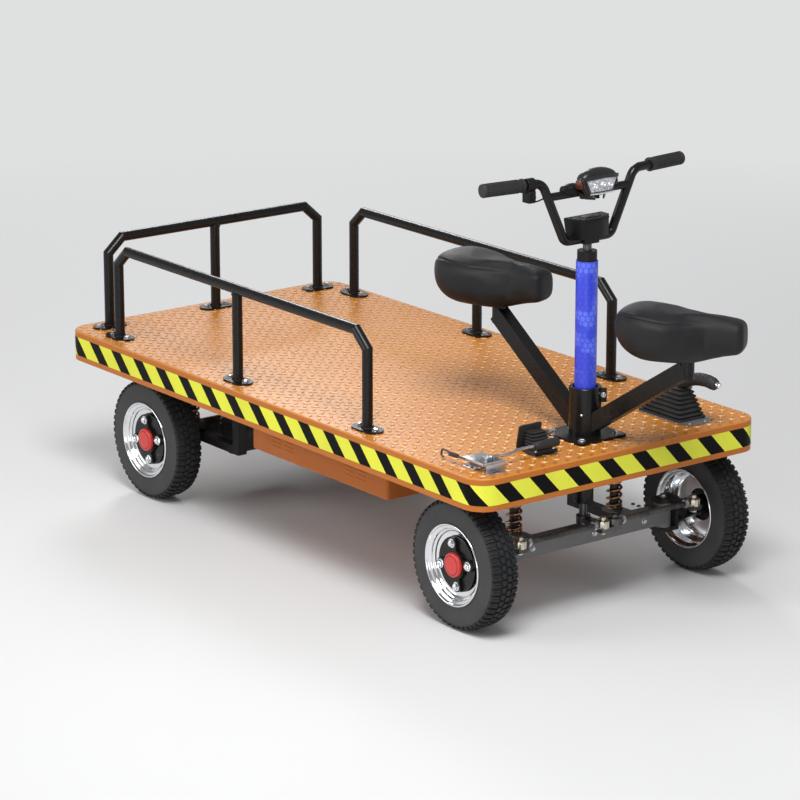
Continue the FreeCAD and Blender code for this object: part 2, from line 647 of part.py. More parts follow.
def make_rear_axle():
    parts = [rod("0", "-axle_tube_length / 2", AXLE_HEIGHT, "axle_tube_radius", "axle_tube_length", "Y"),
             rod("0", "-gear_width / 2", AXLE_HEIGHT, "gear_radius", "gear_width", "Y"),
             block("gear_reach / 2", "0", "gear_box_bottom", "gear_reach", "gear_width",
                   "gear_box_top - gear_box_bottom")]
    for side in (1, -1):
        tube_end = "axle_tube_length / 2"
        parts.append(rod_between("0", tube_end, f"{tube_end} + brake_plate_thick", AXLE_HEIGHT,
                                 "brake_plate_radius", side))
        parts.append(rod_between("0", tube_end, f"{HUB_INNER} - side_play", AXLE_HEIGHT,
                                 "spacer_radius", side))
        parts.append(rod_between("0", tube_end, SPINDLE_END, AXLE_HEIGHT, "spindle_radius", side))
        pad_foot = f"({AXLE_HEIGHT} - axle_tube_radius + axle_pad_set)"
        parts.append(block("0", f"{side} * rear_spring_spread / 2", pad_foot, "axle_pad_length",
                           "axle_pad_width", f"{REAR_SEAT} - {pad_foot}"))
    node("rear_axle", fused(*parts), "rear_axle_ahead")
    motor = rod("motor_ahead", "-(gear_width / 2 + motor_length)", "motor_height", "motor_radius",
                "motor_length", "Y")
    node("drive_motor", apart(motor))


# ---- column and swivelling seats ----------------------------------------------------------------

def make_column():
    plate = slab("BasePlate", "base_plate", "base_plate", "base_plate_thick", "base_plate_corner")
    put(plate, z="deck_top")
    tube = rod("0", "0", "column_foot", "column_radius", "column_head - column_foot")
    inside = rod("0", "0", "column_foot + bush_length", "column_bore",
                 "column_head - column_foot - 2 * bush_length")
    bush = rod("0", "0", "column_foot - past", "shaft_radius + running_gap",
               "column_head - column_foot + 2 * past")
    node("column_tube", cut(fused(plate, tube), inside, bush), "front_axle_ahead")
    sleeve = cut(rod("0", "0", "sleeve_foot", "sleeve_radius", "column_head - sleeve_foot"),
                 rod("0", "0", "sleeve_foot - past", "column_radius + seat_gap",
                     "column_head - sleeve_foot + 2 * past"))
    node("column_sleeve", sleeve, "front_axle_ahead")
    cap = cut(rod("0", "0", "column_head", "column_radius", "cap_top - column_head"),
              rod("0", "0", "column_head - past", "shaft_radius + running_gap",
                  "cap_top - column_head + 2 * past"))
    node("column_cap", cap, "front_axle_ahead")


COLLAR_FOOT = "(deck_top + base_plate_thick + seat_gap)"


def make_collar():
    wall = rod("0", "0", COLLAR_FOOT, "collar_radius", f"collar_top - {COLLAR_FOOT}")
    lug = block("(lug_reach + collar_bore) / 2", "0", "lug_foot", "lug_reach - collar_bore",
                "lug_thick", "collar_top - lug_foot")
    lug = put(apart(lug), turn="lug_turn")
    wide = rod("0", "0", "bush_top", "collar_bore", "collar_top - bush_top + past")
    close = rod("0", "0", f"{COLLAR_FOOT} - past", "column_radius + running_gap",
                f"collar_top - {COLLAR_FOOT} + 2 * past")
    node("swivel_collar", cut(fused(wall, lug), wide, close), "front_axle_ahead")


def make_seat_arm(end, half_turn):
    """A sloping box arm from the collar to the post under a saddle."""
    reach, tip, top = f"{end}_reach", f"{end}_arm_tip", f"{end}_saddle_foot"
    slope = f"atan(({tip} - arm_root) / ({reach} - collar_radius))"
    beam = doc.addObject("Part::Box", "Arm")
    bind(beam, "Length", f"{reach} / cos({slope})")
    bind(beam, "Width", "arm_thick")
    bind(beam, "Height", "arm_height")
    rise = f"(arm_root - collar_radius * tan({slope}))"
    put(beam, f"arm_height / 2 * sin({slope})", "-arm_thick / 2",
        f"{rise} - arm_height / 2 * cos({slope})", turn=slope, axis=Vector(0, -1, 0))
    post = rod(reach, "0", f"{tip} - post_tail", "post_radius", f"{top} - seat_gap - {tip} + post_tail")
    hollow = rod("0", "0", "deck_top - arm_height", "collar_radius", "column_head - deck_top")
    node(f"seat_arm_{end}", cut(fused(beam, post), hollow), "front_axle_ahead",
         turn=f"arm_turn + {half_turn}")


def saddle(setback):
    """The plan of a saddle raised to its side view; its own origin is the post's top."""
    body = new_body("SaddlePlan")
    lean = "asin((saddle_tail_radius - saddle_nose_radius) / saddle_spread)"
    tail_x, nose_x = f"(-{setback})", f"(saddle_spread - {setback})"

    def rim_point(centre, radius, side):
        return f"{centre} + {radius} * sin({lean})", f"{side} * {radius} * cos({lean})"
    plan = [
        (*rim_point(tail_x, "saddle_tail_radius", -1),),
        (*rim_point(nose_x, "saddle_nose_radius", -1), "saddle_nose_radius"),
        (f"{nose_x} + saddle_nose_radius", "0", "saddle_nose_radius"),
        (*rim_point(nose_x, "saddle_nose_radius", 1),),
        (*rim_point(tail_x, "saddle_tail_radius", 1), "saddle_tail_radius"),
        (f"{tail_x} - saddle_tail_radius", "0", "saddle_tail_radius"),
    ]
    pad(body, outline(body, "XY_Plane", plan), "saddle_tail_top")
    side = new_body("SaddleSide")
    tail, nose = f"({tail_x} - saddle_tail_radius)", f"({nose_x} + saddle_nose_radius)"
    lip, kick = f"({nose_x} - nose_lip)", f"({tail_x} - kick_behind)"
    view = [
        (f"{tail_x} - pan_heel", "0"), (f"{nose_x} - pan_toe", "0"), (lip, "saddle_nose_foot"),
        (nose, "saddle_nose_foot + nose_lip_rise"), (nose, "saddle_nose_top - nose_top_drop"),
        (f"{nose} - nose_lip", "saddle_nose_top"), (f"{tail_x} + waist_ahead", "saddle_waist_top"),
        (kick, "saddle_tail_top"), (f"{tail} + kick_run", "saddle_tail_top - kick_drop"),
        (tail, "saddle_tail_top - tail_cheek"), (tail, "saddle_tail_foot"),
    ]
    wide = pad(side, outline(side, "XZ_Plane", view), "4 * saddle_tail_radius")
    wide.SideType = "Symmetric"
    both = doc.addObject("Part::Common", "Saddle")
    both.Base = body
    both.Tool = side
    return both


def make_seats():
    for end, sign in (("front", 1), ("rear", -1)):
        make_seat_arm(end, 0 if sign > 0 else 180)
        node(f"saddle_{end}", saddle(f"{end}_saddle_set"),
             f"front_axle_ahead + {sign} * {end}_reach * cos(arm_turn)",
             f"{sign} * {end}_reach * sin(arm_turn)", f"{end}_saddle_foot", turn=f"{end}_saddle_turn")


# ---- handlebar and what it carries ---------------------------------------------------------------

def rounded_path(points, radii):
    """Straight runs joined by tangent arcs, as one wire."""
    edges, last = [], points[0]
    for before, corner, after, radius in zip(points, points[1:], points[2:], radii):
        back, ahead = (before - corner).normalize(), (after - corner).normalize()
        half = back.getAngle(ahead) / 2
        reach = radius / tan(half)
        start, end = corner + back * reach, corner + ahead * reach
        middle = corner + (back + ahead).normalize() * (radius / sin(half) - radius)
        edges.append(Part.LineSegment(last, start).toShape())
        edges.append(Part.Arc(start, middle, end).toShape())
        last = end
    edges.append(Part.LineSegment(last, points[-1]).toShape())
    return Part.Wire(edges)


CLAMP_TOP = "(stem_top + clamp_height)"
BAR_FOOT = "(stem_top + clamp_height / 2)"
GRIP_HEIGHT = f"({BAR_FOOT} + bar_rise)"
CROSS_BAR_HEIGHT = f"({GRIP_HEIGHT} - cross_bar_drop)"


def bar_points():
    """The handlebar's bend points from its left end to its right end."""
    back = -value("(grip_half - bar_bend_half) * tan(grip_sweep)")
    half = [Vector(back, value("grip_half"), value(GRIP_HEIGHT)),
            Vector(0, value("bar_bend_half"), value(GRIP_HEIGHT)),
            Vector(0, value("bar_foot_half"), value(BAR_FOOT))]
    return half + [Vector(point.x, -point.y, point.z) for point in reversed(half)]


def make_handlebar():
    points = bar_points()
    top, foot = value("bar_top_bend"), value("bar_foot_bend")
    path = rounded_path(points, (top, foot, foot, top))
    direction = points[1] - points[0]
    circle = Part.Circle(points[0], direction, value("bar_radius"))
    tube = doc.addObject("Part::Feature", "BentBar")
    tube.Shape = path.makePipeShell([Part.Wire(circle.toShape())], True, True)
    lean = "(bar_bend_half - bar_foot_half) / bar_rise"
    reach = f"(bar_bend_half - cross_bar_drop * {lean})"
    cross = rod("0", f"-{reach}", CROSS_BAR_HEIGHT, "cross_bar_radius", f"2 * {reach}", "Y")
    clamp = block("0", "0", "stem_top", "clamp_length", "clamp_width", "clamp_height")
    bracket = block("bracket_reach / 2", "0", f"{CROSS_BAR_HEIGHT} - bracket_height / 2",
                    "bracket_reach", "bracket_width", "bracket_height")
    bar = fused(tube, cross, clamp, bracket)
    node("handlebar", bar, "front_axle_ahead", turn="bar_turn")


def make_grips():
    points = bar_points()
    grips = []
    for end, before in ((points[0], points[1]), (points[-1], points[-2])):
        inward = (before - end).normalize()
        outer = end - inward * value("grip_wall")
        sleeve = Part.makeCylinder(value("grip_radius"), value("grip_length"), outer, inward)
        hollow = Part.makeCylinder(value("bar_radius + seat_gap"), value("grip_length"), end, inward)
        grip = doc.addObject("Part::Feature", "Grip")
        grip.Shape = sleeve.cut(hollow)
        grips.append(grip)
    node("grips", apart(*grips), "front_axle_ahead", turn="bar_turn")


def facing_forward(body):
    """Turn a body drawn lying on its back so that it faces +X, with its sketch X along Y."""
    body.Placement.Rotation = Rotation(Vector(1, 1, 1), 120)
    return body


def make_headlight():
    body = new_body("Lamp")
    pad(body, outline(body, "XY_Plane", rounded("lamp_width", "lamp_height", "lamp_corner")),
        "lamp_depth")
    inner = rounded("lamp_width - 2 * lamp_rim", "lamp_height - 2 * lamp_rim",
                    "lamp_corner - lamp_rim")
    recess = outline(body, "XY_Plane", inner, lift="lamp_depth - lamp_recess")
    pocket(body, recess, "lamp_recess + past")
    lens = new_body("Lens")
    small = rounded("lamp_width - 2 * lamp_rim - 2 * seat_gap",
                    "lamp_height - 2 * lamp_rim - 2 * seat_gap", "lamp_corner - lamp_rim - seat_gap")
    pad(lens, outline(lens, "XY_Plane", small), "lens_thick")
    middle = f"{CROSS_BAR_HEIGHT} - lamp_drop + lamp_height / 2"
    put(facing_forward(body), "bracket_reach", "0", middle)
    put(facing_forward(lens), "bracket_reach + lamp_depth - lamp_recess", "0", middle)
    node("headlight_shell", apart(body), "front_axle_ahead", turn="bar_turn")
    node("headlight_lens", apart(lens), "front_axle_ahead", turn="bar_turn")


def make_control_boxes():
    cover = put(slab("ControlBox", "box_depth", "box_width", "box_height", "box_corner"),
                "box_ahead", "0", f"{CLAMP_TOP} - box_hang")
    channel = block("0", "0", f"{CLAMP_TOP} - box_hang - past", "clamp_length + 2 * seat_gap",
                    "box_width + 2 * past", "box_hang + seat_gap + past")
    box = cut(cover, channel)
    end = "(switch_start + switch_width)"
    ring = rod_between("0", "switch_start", end, "0", "switch_ring_radius", -1)
    bore = rod_between("0", "switch_start - past", f"{end} + past", "0", "bar_radius + seat_gap", -1)
    switch = block("0", "-(switch_start + switch_width / 2)", "-(switch_ring_radius + switch_height)",
                   "switch_depth", "switch_width", "switch_ring_radius + switch_height")
    housing = put(apart(cut(fused(ring, switch), bore)), "0", "-bar_bend_half", GRIP_HEIGHT,
                  turn="-grip_sweep")
    node("control_boxes", apart(box, housing), "front_axle_ahead", turn="bar_turn")


# ---- foot and hand controls ------------------------------------------------------------------------

def make_brake_pedal():
    cover = block("0", "0", "0", "brake_length", "brake_width", "brake_height")
    hollow = block("0", "0", "-past", "brake_length - 2 * brake_sheet",
                   "brake_width - 2 * brake_sheet", "brake_height - brake_sheet + past")
    ahead, inward = "(brake_pad_ahead - brake_ahead)", "brake_reach"
    rise = "(brake_rod_rise)"
    flat = f"sqrt({ahead} ^ 2 + {inward} ^ 2)"
    arm = doc.addObject("Part::Cylinder", "PedalArm")
    bind(arm, "Radius", "brake_rod_radius")
    bind(arm, "Height", f"sqrt({ahead} ^ 2 + {inward} ^ 2 + {rise} ^ 2)")
    arm.Placement.Rotation = Rotation(Vector(0, 1, 0), 90)
    bind(arm, "Placement.Rotation.Angle", f"90 deg - atan({rise} / {flat})")
    put(arm, z="brake_height - brake_rod_radius")
    arm = put(apart(arm), turn=f"atan({inward} / {ahead})")
    pad_foot = f"{inward} - past"
    rubber = rod(ahead, pad_foot, f"brake_height - brake_rod_radius + {rise}", "brake_pad_radius",
                 "brake_pad_length", "Y")
    hook = rod("-(brake_length / 2 + brake_hook)", "-brake_hook_inset", "brake_height / 2",
               "brake_rod_radius", "brake_hook + brake_hook_root", "X")
    parts = fused(cut(cover, hollow), arm, rubber, hook)
    node("brake_pedal", parts, "brake_ahead", "-(deck_width / 2 - brake_inset)", "deck_top")


def make_throttle_pedal():
    base = block("0", "0", "0", "pedal_length", "pedal_width", "pedal_thick")
    post = block("0", "0", "0", "pedal_block", "pedal_block", "pedal_block")
    plate = doc.addObject("Part::Box", "PedalPlate")
    bind(plate, "Length", "pedal_plate_thick")
    bind(plate, "Width", "pedal_width - 2 * pedal_margin")
    bind(plate, "Height", "pedal_plate")
    put(plate, "pedal_margin - pedal_length / 2", "pedal_margin - pedal_width / 2", "pedal_thick / 2",
        turn="pedal_tilt", axis=Vector(0, 1, 0))
    node("throttle_pedal", fused(base, post, plate), "pedal_ahead", "-(deck_width / 2 - pedal_inset)", "deck_top")


def pyramid(length, width, top_length, top_width, height, lean):
    """A four-sided frustum that stands on its own origin, its top moved forward by the lean."""
    wedge = doc.addObject("Part::Wedge", "Pyramid")
    for name, text in (("Xmin", f"-({length}) / 2 - {lean}"), ("Xmax", f"({length}) / 2 - {lean}"),
                       ("Zmin", f"-({width}) / 2"), ("Zmax", f"({width}) / 2"),
                       ("X2min", f"-({top_length}) / 2"), ("X2max", f"({top_length}) / 2"),
                       ("Z2min", f"-({top_width}) / 2"), ("Z2max", f"({top_width}) / 2"),
                       ("Ymin", "0"), ("Ymax", height)):
        bind(wedge, name, text)
    wedge.Placement.Rotation = Rotation(Vector(1, 0, 0), 90)
    return wedge


def make_hand_brake():
    """A bowed lever that comes forward out of a gaiter; both stand on one base plate."""
    plate = block("-lever_set", "0", "0",
                  "lever_plate_length", "lever_plate_width", "lever_plate_thick")
    stem = rod("0", "0", "0", "lever_stem_radius", "lever_height - deck_top")
    lever = doc.addObject("Part::Torus", "Lever")
    bind(lever, "Radius1", "lever_bow")
    bind(lever, "Radius2", "lever_radius")
    bind(lever, "Angle3", "lever_length / lever_bow * 180 / pi")
    put(lever, turn="90 + lever_rise - (lever_length - lever_tail) / lever_bow * 180 / pi")
    upright = apart(lever)
    upright.Placement.Rotation = Rotation(Vector(1, 0, 0), 90)
    put(upright, "lever_bow * sin(lever_rise)", "0",
        "lever_height - deck_top - lever_bow * cos(lever_rise)")
    place = ("lever_ahead + lever_set", "(deck_width / 2 - lever_inset)")
    node("hand_brake", fused(plate, stem, upright), *place, "deck_top")
    outer = pyramid("gaiter_length", "gaiter_width", "gaiter_top_length", "gaiter_top_width",
                    "gaiter_height", "lever_set")
    inner = pyramid("gaiter_length - 2 * gaiter_wall", "gaiter_width - 2 * gaiter_wall",
                    "gaiter_top_length - 2 * gaiter_wall", "gaiter_top_width - 2 * gaiter_wall",
                    "gaiter_height", "lever_set")
    node("brake_gaiter", cut(outer, inner), *place, "deck_top + lever_plate_thick")


# ---- build, check and write ---------------------------------------------------------------------------

for make in (make_deck, make_frame, make_battery_box, make_rails, make_wheels, make_front_axle,
             make_steering_shaft, make_linkage, make_springs, make_links, make_rear_axle,
             make_column, make_collar, make_seats, make_handlebar, make_grips, make_headlight,
             make_control_boxes, make_brake_pedal, make_throttle_pedal, make_hand_brake):
    make()
doc.recompute()

for item in doc.Objects:
    if {"Invalid", "Error"} & set(item.State):
        raise SystemExit(f"{item.Name} ({item.Label}) failed: {item.State}")
for label, item in NODES.items():
    if item.Shape.isNull() or not item.Shape.isValid():
        raise SystemExit(f"{label} has no valid shape")

os.makedirs("parts", exist_ok=True)
whole = FreeCAD.BoundBox()
for label, item in NODES.items():
    item.Shape.exportStep(f"parts/{label}.step")
    whole.add(item.Shape.BoundBox)
print(len(NODES), "sub-parts;", "X %.1f to %.1f, Y %.1f to %.1f, Z %.1f to %.1f"
      % (whole.XMin, whole.XMax, whole.YMin, whole.YMax, whole.ZMin, whole.ZMax))
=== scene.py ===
# %% [markdown]
# # Dressing a flatbed trolley
# A battery-powered flatbed trolley stands on four knobbly tyres. Its deck is a checker-plate tray
# with hazard tape round the skirt, guard rails on three sides, and two saddles that swivel round
# the steering column. The solid model of it is loaded first and never moved: it says where every
# part is. Everything after that is its finish, piece by piece.

# %% Load the frame and the libraries
import math

import bmesh
import bpy
import numpy as np
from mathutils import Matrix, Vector


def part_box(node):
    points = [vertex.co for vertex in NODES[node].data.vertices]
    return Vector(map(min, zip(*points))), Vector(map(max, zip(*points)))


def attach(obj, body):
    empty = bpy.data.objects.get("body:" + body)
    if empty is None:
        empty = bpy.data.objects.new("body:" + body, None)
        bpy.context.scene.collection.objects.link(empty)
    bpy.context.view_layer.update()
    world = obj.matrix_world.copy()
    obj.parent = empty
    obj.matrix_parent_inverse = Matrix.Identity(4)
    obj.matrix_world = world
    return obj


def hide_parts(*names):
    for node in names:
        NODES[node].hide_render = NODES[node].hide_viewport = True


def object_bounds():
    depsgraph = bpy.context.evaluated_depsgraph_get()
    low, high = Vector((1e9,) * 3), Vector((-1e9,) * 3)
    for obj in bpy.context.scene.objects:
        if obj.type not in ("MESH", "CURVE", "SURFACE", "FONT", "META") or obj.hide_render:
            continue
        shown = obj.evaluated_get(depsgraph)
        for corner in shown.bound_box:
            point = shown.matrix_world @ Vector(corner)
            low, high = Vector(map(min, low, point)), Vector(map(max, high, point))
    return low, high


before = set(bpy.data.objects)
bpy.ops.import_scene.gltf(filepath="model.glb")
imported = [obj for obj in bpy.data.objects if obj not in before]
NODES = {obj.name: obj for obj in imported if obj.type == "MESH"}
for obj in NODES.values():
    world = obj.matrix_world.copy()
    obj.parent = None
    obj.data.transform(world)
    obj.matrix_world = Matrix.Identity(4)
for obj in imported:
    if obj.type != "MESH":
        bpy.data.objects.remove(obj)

cad_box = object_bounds()

# %% [markdown]
# ## Shapes as arrays
# A shape here is a pair: an array of points and a list of face arrays. Most real surfaces are a
# profile carried along something, so one grid of points and one rule for its faces make nearly all
# of them. Working on whole arrays keeps the code short and quick.

# %% Grids, caps and copies
def grid_faces(rows, columns, round_rows=False, round_columns=False):
    """Quads over points stored row by row; a round direction joins its last line to its first."""
    i, j = np.meshgrid(np.arange(rows - (not round_rows)),
                       np.arange(columns - (not round_columns)), indexing="ij")
    i, j = i.ravel(), j.ravel()
    corners = ((i, j), (i, j + 1), (i + 1, j + 1), (i + 1, j))
    return np.stack([(a % rows) * columns + b % columns for a, b in corners], axis=1)


def capped(points, ring=False, close=True):
    """Rings of points as a shape: a flat face closes each end, or a ring joins up with itself."""
    rows, columns = points.shape[:2]
    faces = [grid_faces(rows, columns, ring, True)]
    if close and not ring:
        end = np.arange(columns)[None]
        faces += [end, end + columns * (rows - 1)]
    return points.reshape(-1, 3), faces


def joined(*shapes):
    """Several shapes as one: each shape's face numbers move up by the points before it."""
    starts = np.cumsum([0] + [len(points) for points, _ in shapes])
    faces = [array + start for (_, arrays), start in zip(shapes, starts) for array in arrays]
    return np.concatenate([points for points, _ in shapes]), faces


def repeated(copies, faces):
    """Copies of one shape's points, as one shape."""
    steps = (np.arange(len(copies)) * copies.shape[1])[:, None, None]
    return (copies.reshape(-1, 3),
            [(array[None] + steps).reshape(-1, array.shape[1]) for array in faces])


def unit(vector):
    vector = np.asarray(vector, float)
    return vector / np.linalg.norm(vector, axis=-1, keepdims=True)


def placed(shape, at=(0, 0, 0), x=(1, 0, 0), y=(0, 1, 0)):
    """A shape moved to a point, with its own x and y axes laid along two directions."""
    points, faces = shape
    x, y = unit(x), unit(y)
    return points @ np.stack([x, y, np.cross(x, y)]) + np.asarray(at, float), faces


# Where a placed shape's own z axis points.
TO_FRONT = {"x": (0, 1, 0), "y": (0, 0, 1)}
TO_LEFT = {"x": (1, 0, 0), "y": (0, 0, -1)}
TO_RIGHT = {"x": (1, 0, 0), "y": (0, 0, 1)}
DOWN = {"x": (1, 0, 0), "y": (0, -1, 0)}


def spun(shape, count, first=0.0):
    """Copies of a shape at equal turns about the z axis."""
    points, faces = shape
    turn = (first + 2 * np.pi * np.arange(count) / count)[:, None]
    x, y, z = points.T
    return repeated(np.stack([x * np.cos(turn) - y * np.sin(turn),
                              x * np.sin(turn) + y * np.cos(turn), z + 0 * turn], axis=-1), faces)


def scattered(shape, spots):
    """A copy of a shape at each row of an array of places."""
    points, faces = shape
    return repeated(points + np.asarray(spots, float).reshape(-1, 1, 3), faces)


def circle(radius, steps=16):
    angle = 2 * np.pi * np.arange(steps) / steps
    return np.stack([radius * np.cos(angle), radius * np.sin(angle)], axis=1)


def lathe(profile, steps=48, ring=False, close=True):
    """A profile of (radius, height) turned about the z axis: x = r cos a, y = r sin a, z = h."""
    radius, height = np.asarray(profile, float).T[:, :, None]
    x, y = circle(1.0, steps).T
    return capped(np.stack([radius * x, radius * y, height + 0 * x], axis=-1), ring, close)


def tube(path, section, up=(0, 0, 1), closed=False):
    """A section of (across, upward) offsets carried along a path; each stands square to it."""
    path, section = np.asarray(path, float), np.asarray(section, float)
    along = unit(np.roll(path, -1, 0) - np.roll(path, 1, 0) if closed
                 else np.gradient(path, axis=0))
    across = unit(np.cross(along, np.broadcast_to(up, path.shape)))
    rise = np.cross(across, along)
    return capped(path[:, None] + across[:, None] * section[:, :1]
                  + rise[:, None] * section[:, 1:], closed)


def rounded_outline(length, width, radius, steps=6):
    """A rectangle's outline, anticlockwise, with each corner a quarter circle."""
    quarter = np.linspace(0, np.pi / 2, steps + 1)
    signs = np.array([[1, 1], [-1, 1], [-1, -1], [1, -1]])
    inner = signs * [length / 2 - radius, width / 2 - radius]
    angle = quarter[None] + (np.arange(4) * np.pi / 2)[:, None]
    arc = radius * np.stack([np.cos(angle), np.sin(angle)], axis=-1)
    return (inner[:, None] + arc).reshape(-1, 2)


def plate(outline, height, edge=0.001, steps=2):
    """A flat piece of a given outline whose edges are rounded over: rings of the outline pulled
    in by edge (1 - cos t) and lowered by edge (1 - sin t)."""
    outline = np.asarray(outline, float)
    step = np.roll(outline, -1, 0) - np.roll(outline, 1, 0)
    outward = unit(np.stack([step[:, 1], -step[:, 0]], axis=1))
    t = np.linspace(0, np.pi / 2, steps + 1)
    inset, low = edge * (1 - np.cos(t)), edge * (1 - np.sin(t))
    inset = np.concatenate([inset[::-1], inset])[:, None, None]
    level = np.concatenate([low[::-1], height - low])[:, None, None]
    rings = outline - outward * inset
    return capped(np.concatenate([rings, level + 0 * rings[..., :1]], axis=-1))


# %% Putting a shape in the scene
def as_mesh(name, shape):
    points, faces = shape
    mesh = bpy.data.meshes.new(name)
    mesh.from_pydata(points.tolist(), [], [face for array in faces for face in array.tolist()])
    return mesh


def shade_smooth(mesh):
    mesh.polygons.foreach_set("use_smooth", [True] * len(mesh.polygons))


def linked(name, data):
    """A new object in the scene."""
    item = bpy.data.objects.new(name, data)
    bpy.context.scene.collection.objects.link(item)
    return item


def piece(name, body, finish, shape, uv=None, sharp=35, weld=True):
    """A named object on a body: points merged where they meet, faces turned outward."""
    mesh = as_mesh(name, shape)
    if uv is not None:
        layer = mesh.uv_layers.new(name="UVMap")
        layer.data.foreach_set("uv", np.asarray(uv, np.float32).ravel())
    if weld:
        work = bmesh.new()
        work.from_mesh(mesh)
        bmesh.ops.remove_doubles(work, verts=work.verts, dist=1e-6)
        bmesh.ops.recalc_face_normals(work, faces=work.faces)
        work.to_mesh(mesh)
        work.free()
    shade_smooth(mesh)
    mesh.set_sharp_from_angle(angle=math.radians(sharp))
    mesh.materials.append(finish.material)
    item = linked(name, mesh)
    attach(item, body)
    print(f"{name}: {len(mesh.polygons)} faces on {body}")
    return item


def positions(mesh):
    flat = np.empty(len(mesh.vertices) * 3, np.float32)
    mesh.vertices.foreach_get("co", flat)
    return flat.reshape(-1, 3).astype(float)


def reposition(mesh, points):
    mesh.vertices.foreach_set("co", points.astype(np.float32).ravel())


def box_of(node):
    """Lowest corner, highest corner and middle of a solid, as arrays."""
    low, high = (np.array(corner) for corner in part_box(node))
    return low, high, (low + high) / 2


# %% [markdown]
# ## Finishes as expressions
# A finish is a Principled shader whose colour, roughness and bump are worked out by small nodes.
# Wrapping a socket in a class that knows +, -, * and / lets each pattern be written as a sum.

# %% Sockets that do arithmetic
class Value:
    """A socket of a finish that can be used in a Python expression."""

    def __init__(self, finish, socket):
        self.finish, self.socket = finish, socket

    def math(self, operation, *others, swap=False):
        terms = [*others, self] if swap else [self, *others]
        return self.finish.add("Math", {i: term for i, term in enumerate(terms)},
                               operation=operation)

    def __neg__(self):
        return self * -1.0

    def __abs__(self):
        return self.math("ABSOLUTE")

    def clamped(self):
        return (self * 1.0).math("MINIMUM", 1.0).math("MAXIMUM", 0.0)

    def ramp(self, low, high):
        """0 at low, 1 at high, straight between them and held beyond them."""
        return ((self - low) / (high - low)).clamped()


for name, operation in {"add": "ADD", "radd": "ADD", "sub": "SUBTRACT", "mul": "MULTIPLY",
                        "rmul": "MULTIPLY", "truediv": "DIVIDE", "pow": "POWER",
                        "gt": "GREATER_THAN", "lt": "LESS_THAN", "mod": "FLOORED_MODULO"}.items():
    setattr(Value, f"__{name}__",
            lambda self, other, operation=operation: self.math(operation, other))
for name, operation in {"rsub": "SUBTRACT", "rtruediv": "DIVIDE"}.items():
    setattr(Value, f"__{name}__",
            lambda self, other, operation=operation: self.math(operation, other, swap=True))


class Finish:
    """A procedural material: its nodes, and the one method that adds any of them."""

    def __init__(self, name, colour, roughness, **constants):
        self.material = bpy.data.materials.new(name)
        self.material.use_nodes = True
        self.tree = self.material.node_tree
        self.shader = self.tree.nodes["Principled BSDF"]
        self.set(Base_Color=(*colour, 1), Roughness=roughness, **constants)

    def add(self, kind, inputs=(), output=0, **settings):
        """A shader node of a kind, its settings first, then the values or links of its sockets."""
        node = self.tree.nodes.new("ShaderNode" + kind)
        for name, setting in settings.items():
            setattr(node, name, setting)
        for key, value in dict(inputs).items():
            self.feed(node.inputs[key], value)
        return Value(self, node.outputs[output])

    def feed(self, socket, value):
        if isinstance(value, Value):
            self.tree.links.new(value.socket, socket)
        else:
            socket.default_value = value

    def set(self, **sockets):
        """Values or links for the Principled shader's sockets; _ stands for a space."""
        for name, value in sockets.items():
            self.feed(self.shader.inputs[name.replace("_", " ")], value)
        return self

    def place(self, scale=(1, 1, 1), source="Object"):
        """Coordinates on the surface, through a Mapping node that scales them."""
        spot = self.add("TexCoord", output={"Object": 3, "UV": 2}[source])
        return self.add("Mapping", {"Vector": spot, "Scale": scale})

    def noise(self, scale, detail=3.0, roughness=0.5, where=None):
        return self.add("TexNoise", {"Vector": where or self.place(), "Scale": scale,
                                     "Detail": detail, "Roughness": roughness})

    def cells(self, scale, where=None, feature="F1"):
        return self.add("TexVoronoi", {"Vector": where or self.place(), "Scale": scale},
                        feature=feature)

    def axes(self, where=None):
        """The three coordinates of a place as numbers."""
        split = self.add("SeparateXYZ", {0: where or self.place()})
        return [Value(self, split.socket.node.outputs[i]) for i in range(3)]

    def blend(self, share, first, second):
        """A colour between two colours."""
        first, second = ((*c, 1) if isinstance(c, tuple) and len(c) == 3 else c
                         for c in (first, second))
        return self.add("Mix", {0: share, 6: first, 7: second}, output=2, data_type="RGBA")

    def bump(self, height, strength=0.3, distance=0.001):
        normal = self.add("Bump", {"Height": height, "Strength": strength, "Distance": distance})
        self.set(Normal=normal)
        return self


print("finishes can be written as expressions")

# %% [markdown]
# ## Paint and metal
# The deck is sprayed a deep orange: the colour drifts a little over a metre and a fine orange peel
# breaks the reflection. The tread tops are lighter, partly worn paint and partly a painted
# highlight, and painted shade darkens each lens's foot and the skirt below the top. The tubes are
# black gloss paint, the front axle grey, the rims chrome. Each finish below adds only what can be
# seen on it.

# %% Orange, black and grey paint
def painted(name, colour, roughness, deeper, peel=0.25, coat=0.4, dust=0.0, gloss=0.5):
    """Sprayed paint: slow drift of colour, dull patches, a fine peel, and dust in slow clouds."""
    paint = Finish(name, colour, roughness, Coat_Weight=coat, Coat_Roughness=0.08,
                   Specular_IOR_Level=gloss)
    drift = paint.noise(2.2, detail=4.0)
    patches = paint.noise(38.0, detail=5.0, roughness=0.65)
    share = drift.ramp(0.3, 0.7) * 0.55 + patches.ramp(0.45, 0.8) * 0.3
    shade = paint.blend(share, colour, deeper)
    if dust:
        shade = paint.blend((patches * drift).ramp(0.25, 0.5) * dust, shade, (0.42, 0.36, 0.3))
    paint.shade = shade
    paint.set(Base_Color=shade, Roughness=roughness + patches.ramp(0.35, 0.75) * 0.16)
    return paint.bump(paint.noise(620.0, detail=2.0) + patches * 0.5, peel, 0.0006)


